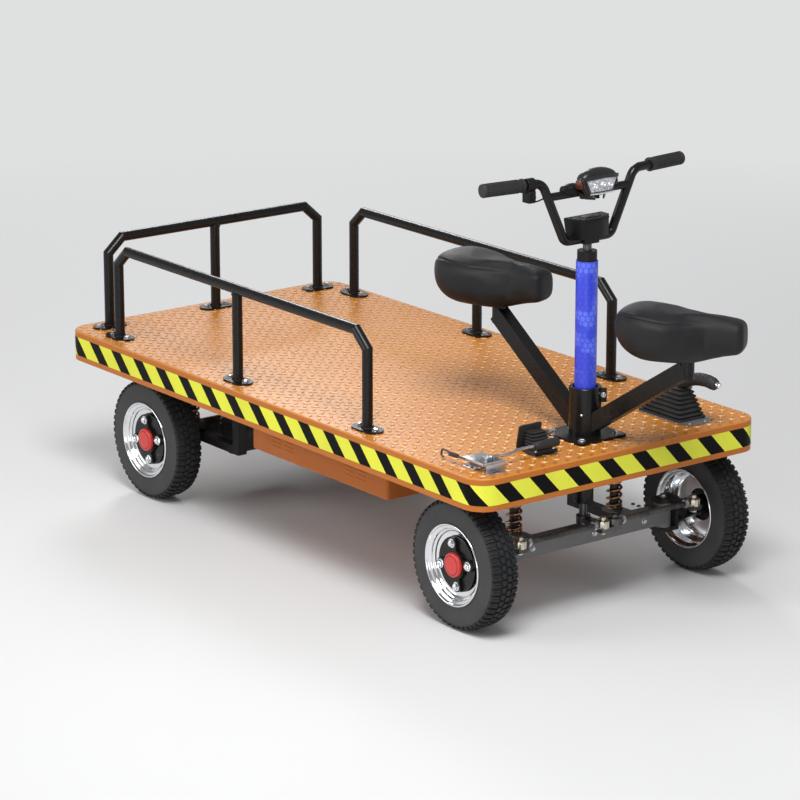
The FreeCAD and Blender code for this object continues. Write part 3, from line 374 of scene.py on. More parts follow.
orange_paint = painted("orange_paint", (0.62, 0.25, 0.042), 0.27, (0.53, 0.18, 0.026), peel=0.12,
                       coat=0.0, dust=0.03, gloss=0.3)
box_paint = painted("box_paint", (0.44, 0.125, 0.018), 0.42, (0.34, 0.085, 0.01), peel=0.4,
                    coat=0.0, dust=0.06, gloss=0.2)
black_paint = painted("black_paint", (0.006, 0.0055, 0.0055), 0.22, (0.009, 0.008, 0.0075),
                      peel=0.06, coat=0.05, gloss=0.26)
frame_paint = painted("frame_paint", (0.012, 0.012, 0.013), 0.5, (0.024, 0.02, 0.018), peel=0.5,
                      coat=0.0, dust=0.25)
grey_paint = painted("grey_paint", (0.15, 0.15, 0.154), 0.36, (0.1, 0.1, 0.104), peel=0.4, coat=0.1,
                     dust=0.15)


# %% Chrome, zinc, brass and dark steel
def metal(name, colour, roughness, tarnish, streak=240.0):
    """Bare or plated metal: fine streaks in the gloss, and tarnish where slow noise gathers."""
    plated = Finish(name, colour, roughness, Metallic=1.0)
    brushed = plated.noise(streak, detail=3.0, where=plated.place(scale=(1, 1, 6)))
    stain = plated.noise(26.0, detail=6.0, roughness=0.7).ramp(0.52, 0.74)
    plated.set(Base_Color=plated.blend(stain * 0.6, colour, tarnish),
               Roughness=roughness + brushed * 0.08 + stain * 0.18)
    return plated.bump(brushed, 0.08, 0.0003)


chrome = metal("chrome", (0.82, 0.83, 0.85), 0.07, (0.62, 0.62, 0.62))
zinc = metal("zinc", (0.54, 0.55, 0.57), 0.26, (0.36, 0.35, 0.33))
brass = metal("brass", (0.6, 0.56, 0.44), 0.26, (0.4, 0.36, 0.25))
dark_steel = metal("dark_steel", (0.13, 0.13, 0.135), 0.34, (0.07, 0.06, 0.05))
copper = metal("copper_spring", (0.56, 0.3, 0.17), 0.24, (0.24, 0.09, 0.045))


# %% Rubber, plastic and leatherette
def rubbery(name, colour, roughness, grain=420.0, dust=0.35, dusty=(0.075, 0.072, 0.068)):
    """Moulded rubber or plastic: a close grain in the bump and pale dust in broad patches of slow
    noise.
    """
    rubber = Finish(name, colour, roughness, Specular_IOR_Level=0.4)
    close = rubber.noise(grain, detail=4.0, roughness=0.6)
    broad = rubber.noise(14.0, detail=5.0, roughness=0.6)
    rubber.set(Base_Color=rubber.blend(broad.ramp(0.42, 0.72) * dust, colour, dusty),
               Roughness=roughness + broad.ramp(0.4, 0.7) * 0.14)
    return rubber.bump(close, 0.35, 0.0005)


grip_rubber = rubbery("grip_rubber", (0.017, 0.017, 0.018), 0.5, dust=0.15)
black_plastic = rubbery("black_plastic", (0.007, 0.007, 0.0075), 0.38, grain=800.0, dust=0.08)
black_plastic.set(Specular_IOR_Level=0.18)

blue_sleeve = Finish("blue_sleeve", (0.03, 0.05, 0.62), 0.3, Specular_IOR_Level=0.4)
sleeve_axis, SLEEVE_RADIUS, HEXAGON = box_of("column_sleeve")[2], 0.0325, 0.017


def hexagon_rise(offset):
    """max(|u|, |u|/2 + |v| sin 60) about the nearest centre of one of the two lattices whose
    cells, together, are hexagons."""
    east, north, up = blue_sleeve.axes()
    turn = (north - sleeve_axis[1]).math("ARCTAN2", east - sleeve_axis[0])
    u = abs((turn * (SLEEVE_RADIUS / HEXAGON) + offset + 0.5) % 1.0 - 0.5)
    v = abs((up / (HEXAGON * math.sqrt(3)) + offset + 0.5) % 1.0 - 0.5) * math.sqrt(3)
    return u.math("MAXIMUM", u * 0.5 + v * math.sin(math.pi / 3))


hexagons = 1.0 - hexagon_rise(0.0).math("MINIMUM", hexagon_rise(0.5)).ramp(0.4, 0.46)
film = blue_sleeve.noise(34.0, detail=5.0)
printed = blue_sleeve.noise(19.0, detail=1.0).ramp(0.46, 0.56)
blue_sleeve.set(Base_Color=blue_sleeve.blend(hexagons * (printed * 0.55 + 0.12) + film * 0.12,
                                             (0.022, 0.035, 0.56), (0.13, 0.2, 0.86)),
                Roughness=0.24 + film * 0.16)
blue_sleeve.bump(film + hexagons * 0.2, 0.12, 0.0005)

print("paint, metal and rubber are mixed")

# %% [markdown]
# ## Dressing the solids
# About half of the solids already have the right shape and only need their finish, so it goes
# straight into their material slots. A detailed piece stands in for each of the others below.

# %% Finishes for the solids that stay
STAYING = {
    orange_paint: ["deck_shell"],
    black_paint: ["side_rail_left", "side_rail_right", "rear_rail", "column_tube", "swivel_collar",
                  "seat_arm_front", "seat_arm_rear", "handlebar", "hub_front_left",
                  "hub_front_right", "hub_rear_left", "hub_rear_right"],
    frame_paint: ["frame_members", "suspension_links", "rear_axle", "knuckle_left",
                  "knuckle_right", "tie_rod_left", "tie_rod_right"],
    grey_paint: ["front_axle"],
    dark_steel: ["steering_shaft"],
    blue_sleeve: ["column_sleeve"],
    black_plastic: ["column_cap"],
}
for finish, names in STAYING.items():
    for name in names:
        NODES[name].data.materials.clear()
        NODES[name].data.materials.append(finish.material)
print(sum(map(len, STAYING.values())), "of", len(NODES), "solids dressed")

# %% [markdown]
# ## Hazard tape
# A band of yellow and black tape goes once round the skirt. It could be painted on the deck with a
# mask, but a thin band of its own gives it an edge, and its UV map can count real metres along the
# skirt, so the slanted stripes keep their width round the corners. The two ends meet on the left.

# %% A path round the deck
deck_low, deck_high, deck_middle = box_of("deck_shell")
DECK_TOP, DECK_CORNER = deck_high[2], 0.065
DECK_LENGTH, DECK_WIDTH = deck_high[:2] - deck_low[:2]


def round_deck(outside, steps=12):
    """The deck's outline at a distance outside it, anticlockwise from the left side's middle."""
    outline = rounded_outline(DECK_LENGTH + 2 * outside, DECK_WIDTH + 2 * outside,
                              DECK_CORNER + outside, steps)
    start = np.array([[0.0, DECK_WIDTH / 2 + outside]])
    outline = np.concatenate([start, outline[steps + 1:], outline[:steps + 1]])
    return outline + deck_middle[:2]


# %% The tape
TAPE_FOOT, TAPE_TOP, TAPE_THICK = 0.3875, 0.4432, 0.0005
flat_path = round_deck(TAPE_THICK / 2)
tape_path = np.column_stack([flat_path, np.full(len(flat_path), (TAPE_FOOT + TAPE_TOP) / 2)])
TAPE_HALF = (TAPE_TOP - TAPE_FOOT) / 2
tape_section = np.array([[TAPE_THICK / 2, -TAPE_HALF], [TAPE_THICK / 2, TAPE_HALF],
                         [-TAPE_THICK / 2, TAPE_HALF], [-TAPE_THICK / 2, -TAPE_HALF]])
tape_shape = tube(tape_path, tape_section, closed=True)
tape_steps = np.linalg.norm(np.roll(flat_path, -1, 0) - flat_path, axis=1)
tape_run = np.concatenate([[0], np.cumsum(tape_steps)])
i, j = np.meshgrid(np.arange(len(flat_path)), np.arange(4), indexing="ij")
i, j = i.ravel(), j.ravel()
tape_uv = np.stack([np.stack([tape_run[i + a], tape_section[(j + b) % 4, 1]], axis=1)
                    for a, b in ((0, 0), (0, 1), (1, 1), (1, 0))], axis=1)

STRIPE_PITCH, STRIPE_START, STRIPE_SLANT, YELLOW_SHARE = 0.1186, 2.149, 0.928, 0.56
tape = Finish("hazard_tape", (0.6, 0.55, 0.08), 0.3, Specular_IOR_Level=0.08)
run, level, _ = tape.axes(tape.place(source="UV"))
stripe = ((run + level * STRIPE_SLANT - STRIPE_START) / STRIPE_PITCH) % 1.0
edge_wander = (tape.noise(60.0) - 0.5) * 0.02
yellow = (stripe + edge_wander) < YELLOW_SHARE
scuffs = tape.noise(90.0, detail=6.0, roughness=0.75)
fade = tape.noise(5.0, detail=3.0)
yellow_shade = tape.blend(fade.ramp(0.35, 0.7) * 0.5, (0.78, 0.8, 0.07), (0.64, 0.63, 0.06))
yellow_shade = tape.blend(scuffs.ramp(0.62, 0.74) * 0.55, yellow_shade, (0.2, 0.17, 0.06))
black_shade = tape.blend(scuffs.ramp(0.55, 0.75) * 0.35, (0.003, 0.003, 0.003),
                         (0.03, 0.028, 0.025))
tape.set(Base_Color=tape.blend(yellow, black_shade, yellow_shade),
         Roughness=0.42 + scuffs.ramp(0.5, 0.75) * 0.3)
tape.bump(tape.noise(25.0, detail=2.0) + yellow * 0.15, 0.35, 0.0008)
piece("hazard_tape", "chassis", tape, tape_shape, uv=tape_uv.reshape(-1, 2))
print(f"tape {tape_run[-1]:.3f} m long")

# %% [markdown]
# ## Tread plate
# The deck is a rolled plate with small raised lenses that lean left and right by turns. Bump alone
# would leave it flat against low light, so each lens is real, but with few faces, because there are
# over two thousand of them.

# %% Raised lenses
LUG_LENGTH, LUG_WIDTH, LUG_HEIGHT, LUG_PITCH = 0.029, 0.0096, 0.0024, 0.042
LUG_MARGIN, COLUMN_CLEAR = 0.014, 0.06


def lens():
    """A pointed oval: half width w(x) = b (1 - (x/a)^2), one ring at the foot, one near the top."""
    x = LUG_LENGTH / 2 * np.array([1, 0.55, 0, -0.55, -1, -0.55, 0, 0.55])
    side = np.array([0, 1, 1, 1, 0, -1, -1, -1])
    y = side * LUG_WIDTH / 2 * (1 - (x / (LUG_LENGTH / 2)) ** 2)
    foot = np.stack([x, y, np.full(8, -0.0004)], axis=1)
    crown = np.stack([x * 0.62, y * 0.5, np.full(8, LUG_HEIGHT)], axis=1)
    return np.concatenate([foot, crown]), [grid_faces(2, 8, round_columns=True),
                                           np.arange(8, 16)[None]]


def on_deck(spots, margin):
    """Which spots lie inside the deck's rounded outline by a margin, and off the column's plate."""
    from_middle = np.abs(spots - deck_middle[:2])
    half = np.array([DECK_LENGTH, DECK_WIDTH]) / 2
    corner = np.maximum(from_middle - (half - DECK_CORNER), 0)
    inside = (np.hypot(*corner.T) < DECK_CORNER - margin) & (from_middle < half - margin).all(1)
    column = box_of("column_tube")[2][:2]
    return inside & (np.abs(spots - column).max(1) > COLUMN_CLEAR)


def lattice(offset, lean):
    """Lenses of one lean on a square lattice over the deck."""
    reach = np.arange(-30, 31)
    x, y = np.meshgrid((reach + offset) * LUG_PITCH, (reach + offset) * LUG_PITCH)
    spots = np.column_stack([x.ravel(), y.ravel()]) + deck_middle[:2]
    spots = spots[on_deck(spots, LUG_MARGIN)]
    spots = np.column_stack([spots, np.full(len(spots), DECK_TOP)])
    return scattered(placed(lens(), x=(1, lean, 0), y=(-lean, 1, 0)), spots)


# %% Paint on the plate
# Painted light on the tread: each lens darkens towards its foot as painted shade, and its crest is
# lighter, partly worn paint and partly a painted highlight.
PAINTED_FOOT_SHADE, WORN_PAINT_AND_HIGHLIGHT = (0.27, 0.075, 0.01), (0.84, 0.46, 0.15)
FOOT_SHADE_REACH, FOOT_SHADE_WIDTH = 0.0185, 0.0085
plate_paint = painted("plate_paint", (0.76, 0.36, 0.09), 0.24, (0.66, 0.28, 0.06), peel=0.12,
                      coat=0.1)
_, _, level = plate_paint.axes()
wear = plate_paint.noise(30.0, detail=3.0).ramp(0.35, 0.65)
flank = plate_paint.blend(level.ramp(DECK_TOP, DECK_TOP + 0.6 * LUG_HEIGHT), PAINTED_FOOT_SHADE,
                          plate_paint.shade)
# The crest's lighter colour is partly wear and partly a painted highlight.
crest = level.ramp(DECK_TOP + 0.7 * LUG_HEIGHT, DECK_TOP + LUG_HEIGHT) * (wear * 0.5 + 0.4)
plate_paint.set(Base_Color=plate_paint.blend(crest, flank, WORN_PAINT_AND_HIGHLIGHT))


def painted_shade_round(offset, lean):
    """Painted shade round the foot of each lens: 1 - (a/A)^2 - (b/B)^2, in the lens's own axes."""
    east, north, _ = orange_paint.axes()
    across = ((east - deck_middle[0]) / LUG_PITCH + 0.5 - offset) % 1.0 - 0.5
    along = ((north - deck_middle[1]) / LUG_PITCH + 0.5 - offset) % 1.0 - 0.5
    reach = LUG_PITCH * math.sqrt(0.5)
    a, b = (across + along * lean) * reach, (along - across * lean) * reach
    return (1.0 - (a / FOOT_SHADE_REACH) ** 2 - (b / FOOT_SHADE_WIDTH) ** 2).clamped()


_, _, level = orange_paint.axes()
# Painted shade on the sheet round the foot of each lens.
foot_shade = (painted_shade_round(0.0, 1) + painted_shade_round(0.5, -1)).clamped() * (level > DECK_TOP - 0.001)
# Painted shade: the skirt below the deck's top is painted a darker orange than the top.
sheet_with_painted_skirt_shade = orange_paint.blend(level > DECK_TOP - 0.004, (0.47, 0.14, 0.016), orange_paint.shade)
orange_paint.set(Base_Color=orange_paint.blend(foot_shade * 0.6, sheet_with_painted_skirt_shade, PAINTED_FOOT_SHADE))
piece("deck_tread", "chassis", plate_paint,
      joined(lattice(0.0, 1), lattice(0.5, -1)), sharp=25, weld=False)

# %% [markdown]
# ## Tyres
# Each tyre has a smooth broad side wall and a blocky tread: a row of ribs over each shoulder, split
# by fine grooves, and two staggered rows between them with a crooked groove down the middle. The
# casing is one lathe turn. A block is a small patch of the tread's own curve lifted off it, worked
# out once and spun round the axle.

# %% Casing and tread
WHEELS = {f"{end}_{side}": (f"wheel_{end}_{side}", 1 if side == "left" else -1)
          for end in ("front", "rear") for side in ("left", "right")}
TYRE_RADIUS, TYRE_HALF = 0.1814, 0.0438
CASING = [(0.1025, 0.031), (0.107, 0.0345), (0.1105, 0.0385), (0.1128, 0.042), (0.115, 0.0432),
          (0.1165, 0.04375), (0.1185, 0.0432), (0.1215, 0.04335), (0.128, 0.0437), (0.136, 0.0438),
          (0.146, 0.0437), (0.155, 0.0432), (0.162, 0.0424), (0.1648, 0.0418), (0.1655, 0.0426),
          (0.1672, 0.0426), (0.1682, 0.0405), (0.1708, 0.0372), (0.174, 0.03), (0.1752, 0.018),
          (0.1757, 0.006)]


def tread_radius(w):
    """The tread's radius at a distance w from the tyre's middle: a crown that drops outward."""
    t = np.abs(w) / TYRE_HALF
    return TYRE_RADIUS - 0.0012 * t ** 2 - 0.0085 * np.maximum(t - 0.72, 0) / 0.28 * t ** 4


def tread_block(corners, sink=0.008, chamfer=0.0011):
    """A block over a polygon of (arc length, w): a foot below the casing, then a chamfered top."""
    corners = np.asarray(corners, float)
    middle = corners.mean(0)
    reach = np.linalg.norm(corners - middle, axis=1, keepdims=True)
    inset = middle + (corners - middle) * (1 - chamfer * 1.3 / reach)
    rings = [(middle + (corners - middle) * 1.05, -sink), (corners, -chamfer), (inset, 0.0)]
    points = []
    for outline, lift in rings:
        radius = tread_radius(outline[:, 1]) + lift
        angle = outline[:, 0] / TYRE_RADIUS
        points.append(np.stack([radius * np.sin(angle), radius * np.cos(angle), outline[:, 1]],
                               axis=1))
    return np.concatenate(points), [grid_faces(3, len(corners), round_columns=True),
                                    (np.arange(len(corners)) + 2 * len(corners))[None]]


RIBS = 54
RIB_PITCH = 2 * math.pi * TYRE_RADIUS / RIBS
rib = [(-0.0042, 0.0215), (0.0006, 0.0195), (0.0006, 0.0418), (-0.0042, 0.0418)]
short_rib = [(0.0018, 0.0195), (0.0078, 0.0175), (0.0078, 0.0418), (0.0018, 0.0418)]
lug = [(-0.0075, 0.003), (-0.002, 0.0012), (0.0075, 0.0035), (0.0075, 0.0125), (0.001, 0.0158),
       (-0.0075, 0.0142)]
mirrored = [[(-arc, -w) for arc, w in shape] for shape in (rib, short_rib, lug)]
half_step = [[(arc + RIB_PITCH / 2, w) for arc, w in shape] for shape in mirrored]
tread = [tread_block(shape) for shape in (rib, short_rib, lug, *half_step)]
casing_profile = CASING + [(radius, -w) for radius, w in CASING[::-1]]
tyre_shape = joined(lathe(casing_profile, 96, ring=True), *[spun(block, RIBS) for block in tread])


def on_wheel(shape, centre, outward):
    """A shape turned about z, laid on an axle: its z axis points outboard, its y up or down."""
    return placed(shape, at=centre, x=(1, 0, 0), y=(0, 0, -outward))


def wheel_middle(name):
    return box_of(f"tyre_{name}")[2]


SIDE_WALL, TREAD_EDGE = 0.163, 0.17
wheel_rubber = Finish("wheel_rubber", (0.05, 0.05, 0.051), 0.6, Specular_IOR_Level=0.35)
on_tread = wheel_rubber.add("Attribute", output=2, attribute_name="rise").ramp(SIDE_WALL,
                                                                               TREAD_EDGE)
mould = wheel_rubber.noise(230.0, detail=4.0, roughness=0.65)
dust = wheel_rubber.noise(11.0, detail=5.0, roughness=0.6).ramp(0.4, 0.7)
side_shade = wheel_rubber.blend(dust * 0.6, (0.042, 0.042, 0.043), (0.068, 0.067, 0.064))
tread_shade = wheel_rubber.blend(dust * 0.5, (0.014, 0.0145, 0.016), (0.035, 0.035, 0.036))
wheel_rubber.set(Base_Color=wheel_rubber.blend(on_tread, side_shade, tread_shade),
                 Roughness=0.52 + mould * 0.2 + dust * 0.1)
wheel_rubber.bump(mould, 0.3, 0.0005)


def store_rise(item, centre):
    """Each point's distance from the axle, kept on the mesh for the finish to read."""
    across = positions(item.data)[:, [0, 2]] - np.asarray(centre)[[0, 2]]
    rise = item.data.attributes.new("rise", "FLOAT", "POINT")
    rise.data.foreach_set("value", np.hypot(*across.T).astype(np.float32))


for name, (body, outward) in WHEELS.items():
    dressed = piece(f"knobbly_tyre_{name}", body, wheel_rubber,
                    on_wheel(tyre_shape, wheel_middle(name), outward), sharp=28)
    store_rise(dressed, wheel_middle(name))
    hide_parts(f"tyre_{name}")

# %% [markdown]
# ## Rims, caps and wheel nuts
# The rims are pressed steel, chromed: a rolled lip, then narrow steps down to a shallow dish. From
# inside the trolley they are deep bright bowls. One closed profile makes both sides.
# A red plastic cap and four chromed nuts finish each hub.

# %% Rims
RIM = [(0.1142, 0.044), (0.1139, 0.0466), (0.1126, 0.0477), (0.1106, 0.0474), (0.1092, 0.0452),
       (0.1083, 0.0412), (0.1058, 0.0392), (0.1012, 0.0385), (0.0996, 0.0368), (0.0989, 0.033),
       (0.0974, 0.031), (0.0938, 0.0303), (0.0924, 0.0286), (0.0915, 0.0258), (0.0894, 0.0236),
       (0.0868, 0.0228), (0.046, 0.0228), (0.046, 0.0199), (0.0866, 0.0199), (0.0893, 0.0186),
       (0.0925, 0.013), (0.0938, 0.004), (0.0942, -0.008), (0.0958, -0.0105), (0.0962, -0.021),
       (0.0985, -0.0238), (0.0993, -0.0335), (0.1015, -0.0372), (0.1062, -0.039), (0.1084, -0.0412),
       (0.1094, -0.0452), (0.1108, -0.0474), (0.1126, -0.0477), (0.1139, -0.0466), (0.1142, -0.044),
       (0.112, -0.0432), (0.1104, -0.0398), (0.1078, -0.0368), (0.1036, -0.0352), (0.1016, -0.033),
       (0.1016, 0.033), (0.1036, 0.0352), (0.1078, 0.0368), (0.1104, 0.0398), (0.112, 0.0432)]
rim_shape = lathe(RIM, 96, ring=True)
HUB_FACE, CAP_TOP = 0.03675, 0.0486
CAP = [(0.0338, HUB_FACE - 0.004), (0.0338, 0.0422), (0.0334, 0.0444), (0.0318, 0.0463),
       (0.029, 0.0474), (0.022, 0.0481), (0.012, 0.0485), (0.003, CAP_TOP)]
NUT_CIRCLE, NUT_TURN = 0.059, math.radians(10)
nut = joined(lathe([(0.0125, 0), (0.0125, 0.0012), (0.0095, 0.0014)], 24),
             lathe([(0.0098, 0.001), (0.0098, 0.0064), (0.0086, 0.0078), (0.0062, 0.0088)], 6),
             lathe([(0.0052, 0.006), (0.0052, 0.0098), (0.0042, 0.0104)], 16))
nuts_shape = spun(placed(nut, at=(0, NUT_CIRCLE, HUB_FACE)), 4, first=NUT_TURN)
cap_red = Finish("cap_red", (0.62, 0.03, 0.022), 0.34, Coat_Weight=0.3, Coat_Roughness=0.15)
cap_dust = cap_red.noise(70.0, detail=5.0, roughness=0.7)
cap_red.set(Base_Color=cap_red.blend(cap_dust.ramp(0.5, 0.75) * 0.4, (0.62, 0.03, 0.022),
                                     (0.4, 0.045, 0.035)),
            Roughness=0.3 + cap_dust.ramp(0.4, 0.7) * 0.25)
cap_red.bump(cap_red.noise(500.0), 0.2, 0.0004)
for name, (body, outward) in WHEELS.items():
    centre = wheel_middle(name)
    rim = piece(f"stepped_rim_{name}", body, chrome, on_wheel(rim_shape, centre, outward),
                sharp=50)
    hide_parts(f"rim_{name}")
    piece(f"wheel_nuts_{name}", body, chrome, on_wheel(nuts_shape, centre, outward),
          sharp=30)
    piece(f"hub_cap_{name}", body, cap_red,
          on_wheel(lathe(CAP, 40), centre, outward), sharp=50)

# %% [markdown]
# ## Saddles
# Two scooter saddles turn round the column: a broad tail, a deep rounded bowl under it and a slim
# upright nose. Black leatherette is pulled over foam, so the shape is first drawn a little small
# from cross-sections, then blown up by a short cloth simulation and smoothed, and only then gets
# the seam that runs round the tail.

# %% One saddle as a grid
SADDLE_TAIL, SADDLE_NOSE, SADDLE_SPREAD = 0.117, 0.051, 0.19


def ease(x, start, stop):
    """0 before start, 1 after stop, and 3t^2 - 2t^3 between them."""
    t = np.clip((x - start) / (stop - start), 0, 1)
    return t * t * (3 - 2 * t)


def power(base, exponent):
    return np.sign(base) * np.abs(base) ** exponent


def saddle_form(s):
    """Half width, top, foot, widest level and the two roundnesses at a distance s ahead of the
    tail's centre."""
    nose = ease(s, 0.015, 0.15)
    end = SADDLE_SPREAD + SADDLE_NOSE
    tail_cap = np.clip(1 - np.abs(np.minimum(s, 0) / SADDLE_TAIL) ** 2.1, 0, 1) ** 0.5
    nose_cap = np.clip(1 - (np.maximum(s - end + 0.03, 0) / 0.03) ** 2.6, 0, 1) ** (1 / 2.6)
    half = (SADDLE_TAIL * (1 - nose) + SADDLE_NOSE * nose) * tail_cap * nose_cap
    top = 0.139 - 0.021 * ease(s, -0.09, 0.075) - 0.009 * ease(s, 0.05, 0.24)
    foot = -0.014 + 0.028 * ease(s, 0.07, 0.2)
    level = 0.08 - 0.01 * nose
    shrink = (1 - np.abs(np.minimum(s, 0) / SADDLE_TAIL) ** 2.6).clip(0, 1) ** (1 / 2.6) * nose_cap
    bowl = tail_cap * nose_cap
    return (half, level + (top - level) * shrink, level - (level - foot) * bowl, level,
            2.7 + 0.8 * nose, 2.9 + 1.6 * nose)


def saddle_shape(rows=56, columns=72, shrink=0.004):
    """Cross-sections from tail to nose: y = a cos^(2/n) q, z = level + b sin^(2/n) q."""
    ends = np.array([-SADDLE_TAIL, SADDLE_SPREAD + SADDLE_NOSE])
    s = ends.mean() - np.ptp(ends) / 2 * np.cos(np.linspace(0, np.pi, rows + 2)[1:-1])
    half, top, foot, level, upper, lower = (np.broadcast_to(v, s.shape)[:, None]
                                            for v in saddle_form(s))
    q = np.linspace(0, 2 * np.pi, columns, endpoint=False)[None]
    n = np.where(np.sin(q) >= 0, upper, lower)
    reach = np.where(np.sin(q) >= 0, top - level, level - foot)
    y = (half - shrink) * power(np.cos(q), 2 / n)
    z = level + (reach - shrink) * power(np.sin(q), 2 / n)
    x = np.clip(np.broadcast_to(s[:, None], y.shape), ends[0] + shrink, ends[1] - shrink)
    tips = np.array([[ends[0] + shrink, 0, level[0, 0]], [ends[1] - shrink, 0, level[-1, 0]]])
    points = np.concatenate([np.stack([x, y, z], axis=-1).reshape(-1, 3), tips])
    last = rows * columns
    q = np.arange(columns)
    caps = [np.stack([np.full(columns, last), (q + 1) % columns, q], axis=1),
            np.stack([np.full(columns, last + 1), last - columns + q,
                      last - columns + (q + 1) % columns], axis=1)]
    return points, [grid_faces(rows, columns, round_columns=True), *caps]


# %% Blow it up, then sew it
def modified(item, kind, **settings):
    """Add a modifier to an object, with its settings."""
    change = item.modifiers.new(kind.title(), kind)
    for name, setting in settings.items():
        setattr(change, name, setting)
    return change


def applied(item):
    """The object's mesh with its modifiers worked out, put in place of them."""
    bpy.context.view_layer.update()
    graph = bpy.context.evaluated_depsgraph_get()
    mesh = bpy.data.meshes.new_from_object(item.evaluated_get(graph))
    item.modifiers.clear()
    item.data = mesh
    return item


CLOTH_FRAMES = 20


def inflate(item, cap=0.008):
    """A skin of even 5 mm cells, swelled by cloth pressure up to a cap, then smoothed."""
    modified(item, "REMESH", mode="VOXEL", voxel_size=0.005)
    applied(item)
    before = positions(item.data)
    cloth = modified(item, "CLOTH")
    cloth.settings.quality = 5
    cloth.settings.use_pressure = True
    cloth.settings.uniform_pressure_force = 4.0
    cloth.settings.effector_weights.gravity = 0.0
    for frame_number in range(1, CLOTH_FRAMES + 1):
        bpy.context.scene.frame_set(frame_number)
    applied(item)
    bpy.context.scene.frame_set(1)
    moved = positions(item.data) - before
    length = np.linalg.norm(moved, axis=1, keepdims=True)
    moved *= np.minimum(1, cap / np.maximum(length, 1e-9))
    reposition(item.data, before + moved)
    modified(item, "SMOOTH", factor=0.5, iterations=16)
    modified(item, "SUBSURF", levels=1, render_levels=1)
    return applied(item)


SEAM_TURN, SEAM_DEPTH, SEAM_HALF, SEAM_END = 0.72, 0.0028, 0.0032, 0.13


def sew(item):
    """The seam is a groove: a point sinks by d e^(-(g/w)^2), where g is its gap from the seam."""
    points = positions(item.data)
    normals = np.empty(len(points) * 3, np.float32)
    item.data.vertices.foreach_get("normal", normals)
    half, top, _, level, _, _ = saddle_form(points[:, 0])
    around = np.arctan2((points[:, 2] - level) / np.maximum(top - level, 0.004),
                        np.abs(points[:, 1]) / np.maximum(half, 0.01))
    radius = np.hypot(points[:, 2] - level, points[:, 1])
    gap = (around - SEAM_TURN) * np.maximum(radius, 0.02)
    depth = SEAM_DEPTH * np.exp(-(gap / SEAM_HALF) ** 2) * (1 - ease(points[:, 0], 0.07, SEAM_END))
    points -= normals.reshape(-1, 3) * depth[:, None]
    reposition(item.data, points)


leatherette = Finish("leatherette", (0.012, 0.012, 0.013), 0.42, Specular_IOR_Level=0.26)
pores = leatherette.cells(520.0, feature="DISTANCE_TO_EDGE")
folds = leatherette.cells(210.0, feature="DISTANCE_TO_EDGE")
wear = leatherette.noise(16.0, detail=5.0, roughness=0.6)
leatherette.set(Base_Color=leatherette.blend(wear.ramp(0.4, 0.75) * 0.45, (0.009, 0.009, 0.01),
                                             (0.022, 0.0225, 0.024)),
                Roughness=0.36 + wear.ramp(0.35, 0.75) * 0.16 + pores.ramp(0.0, 0.2) * 0.06)
leatherette.bump(pores.ramp(0.0, 0.25) + folds.ramp(0.0, 0.12) * 0.6, 0.4, 0.0005)

SADDLES, TAIL_INSET = {"front": math.radians(36), "rear": math.radians(18)}, 0.115
for name, heading in SADDLES.items():
    tail = box_of(f"saddle_{name}")[0] + (TAIL_INSET, TAIL_INSET, 0)
    ahead = (math.cos(heading), math.sin(heading), 0)
    left = (-math.sin(heading), math.cos(heading), 0)
    saddle = piece(f"padded_saddle_{name}", "seat_carrier", leatherette,
                   saddle_shape(), sharp=80)
    inflate(saddle)
    sew(saddle)
    turned, _ = placed((positions(saddle.data), []), at=tail, x=ahead, y=left)
    reposition(saddle.data, turned)
    shade_smooth(saddle.data)
    if not saddle.data.materials:
        saddle.data.materials.append(leatherette.material)
    saddle.data.update()
    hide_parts(f"saddle_{name}")
    print(f"saddle_{name}: {len(saddle.data.polygons)} faces, tail at {np.round(tail, 3)}")

# %% [markdown]
# ## Grips
# The grips are moulded rubber with ribs along them and a ring at the inner end. The bar is swept
# back, so each grip's own direction is read from the points of its solid.

# %% Grips
bar_middle = box_of("grips")[2]
mesh_points = positions(NODES["grips"].data)


def grip_axis(side):
    """Inner end and outer end of one grip, from the points of its solid: the longest direction."""
    points = mesh_points[np.sign(mesh_points[:, 1] - bar_middle[1]) == side]
    middle = (points.min(0) + points.max(0)) / 2
    direction = np.linalg.svd(points - points.mean(0), full_matrices=False)[2][0]
    direction *= np.sign(direction[1]) * side
    along = (points - middle) @ direction
    return middle + direction * along.min(), middle + direction * along.max()


GRIP_RIBS = 22


def grip_shape(start, stop):
    """Rings along the bar whose radius is r(1 + k cos(n a)): ribs that fade at both ends."""
    length = np.linalg.norm(stop - start)
    s = np.array([0, 0, .004, .006, .0065, .012, .016, .02, length - .016, length - .011,
                  length - .01, length - .004, length - .0012, length])
    r = np.array([.013, .0192, .0192, .0188, .0168, .0168, .0176, .0178, .0178, .0176, .0187, .0188,
                  .0176, .013])
    ribbed = np.array([0, 0, 0, 0, 0, 0, 1, 1, 1, 1, 0, 0, 0, 0])
    angle = np.linspace(0, 2 * np.pi, GRIP_RIBS * 4, endpoint=False)
    ripple = np.cos(angle * GRIP_RIBS)[None] * 0.0009 * ribbed[:, None]
    radius = r[:, None] + ripple
    points = np.stack([radius * np.cos(angle), radius * np.sin(angle),
                       np.broadcast_to(s[:, None], radius.shape)], axis=-1)
    z = unit(stop - start)
    x = unit(np.cross(z, (0, 0, 1)))
    return placed(capped(points), at=start, x=x, y=np.cross(z, x))


grips = [grip_axis(side) for side in (-1, 1)]
ribbed_grips = piece("ribbed_grips", "steering", grip_rubber,
                     joined(*[grip_shape(*ends) for ends in grips]), sharp=40)
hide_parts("grips")
print("grips reach", [np.round(ends, 3).tolist() for ends in grips])

# %% [markdown]
# ## Lamp and control box
# The lamp is a dark dome that narrows downward: a stack of rounded outlines. In front, a bezel
# holds a faceted bowl with three bulbs; its clear cover is left out. The bowl's light and dark
# facets are painted reflection, and its faint glow is painted light. An amber marker sits on each
# side. The control box below hangs over the bar's clamp, with two cut faces.

# %% Lamp dome
lamp_low, lamp_high, lamp_middle = box_of("headlight_shell")
LAMP_HALF = (lamp_high - lamp_low) / 2


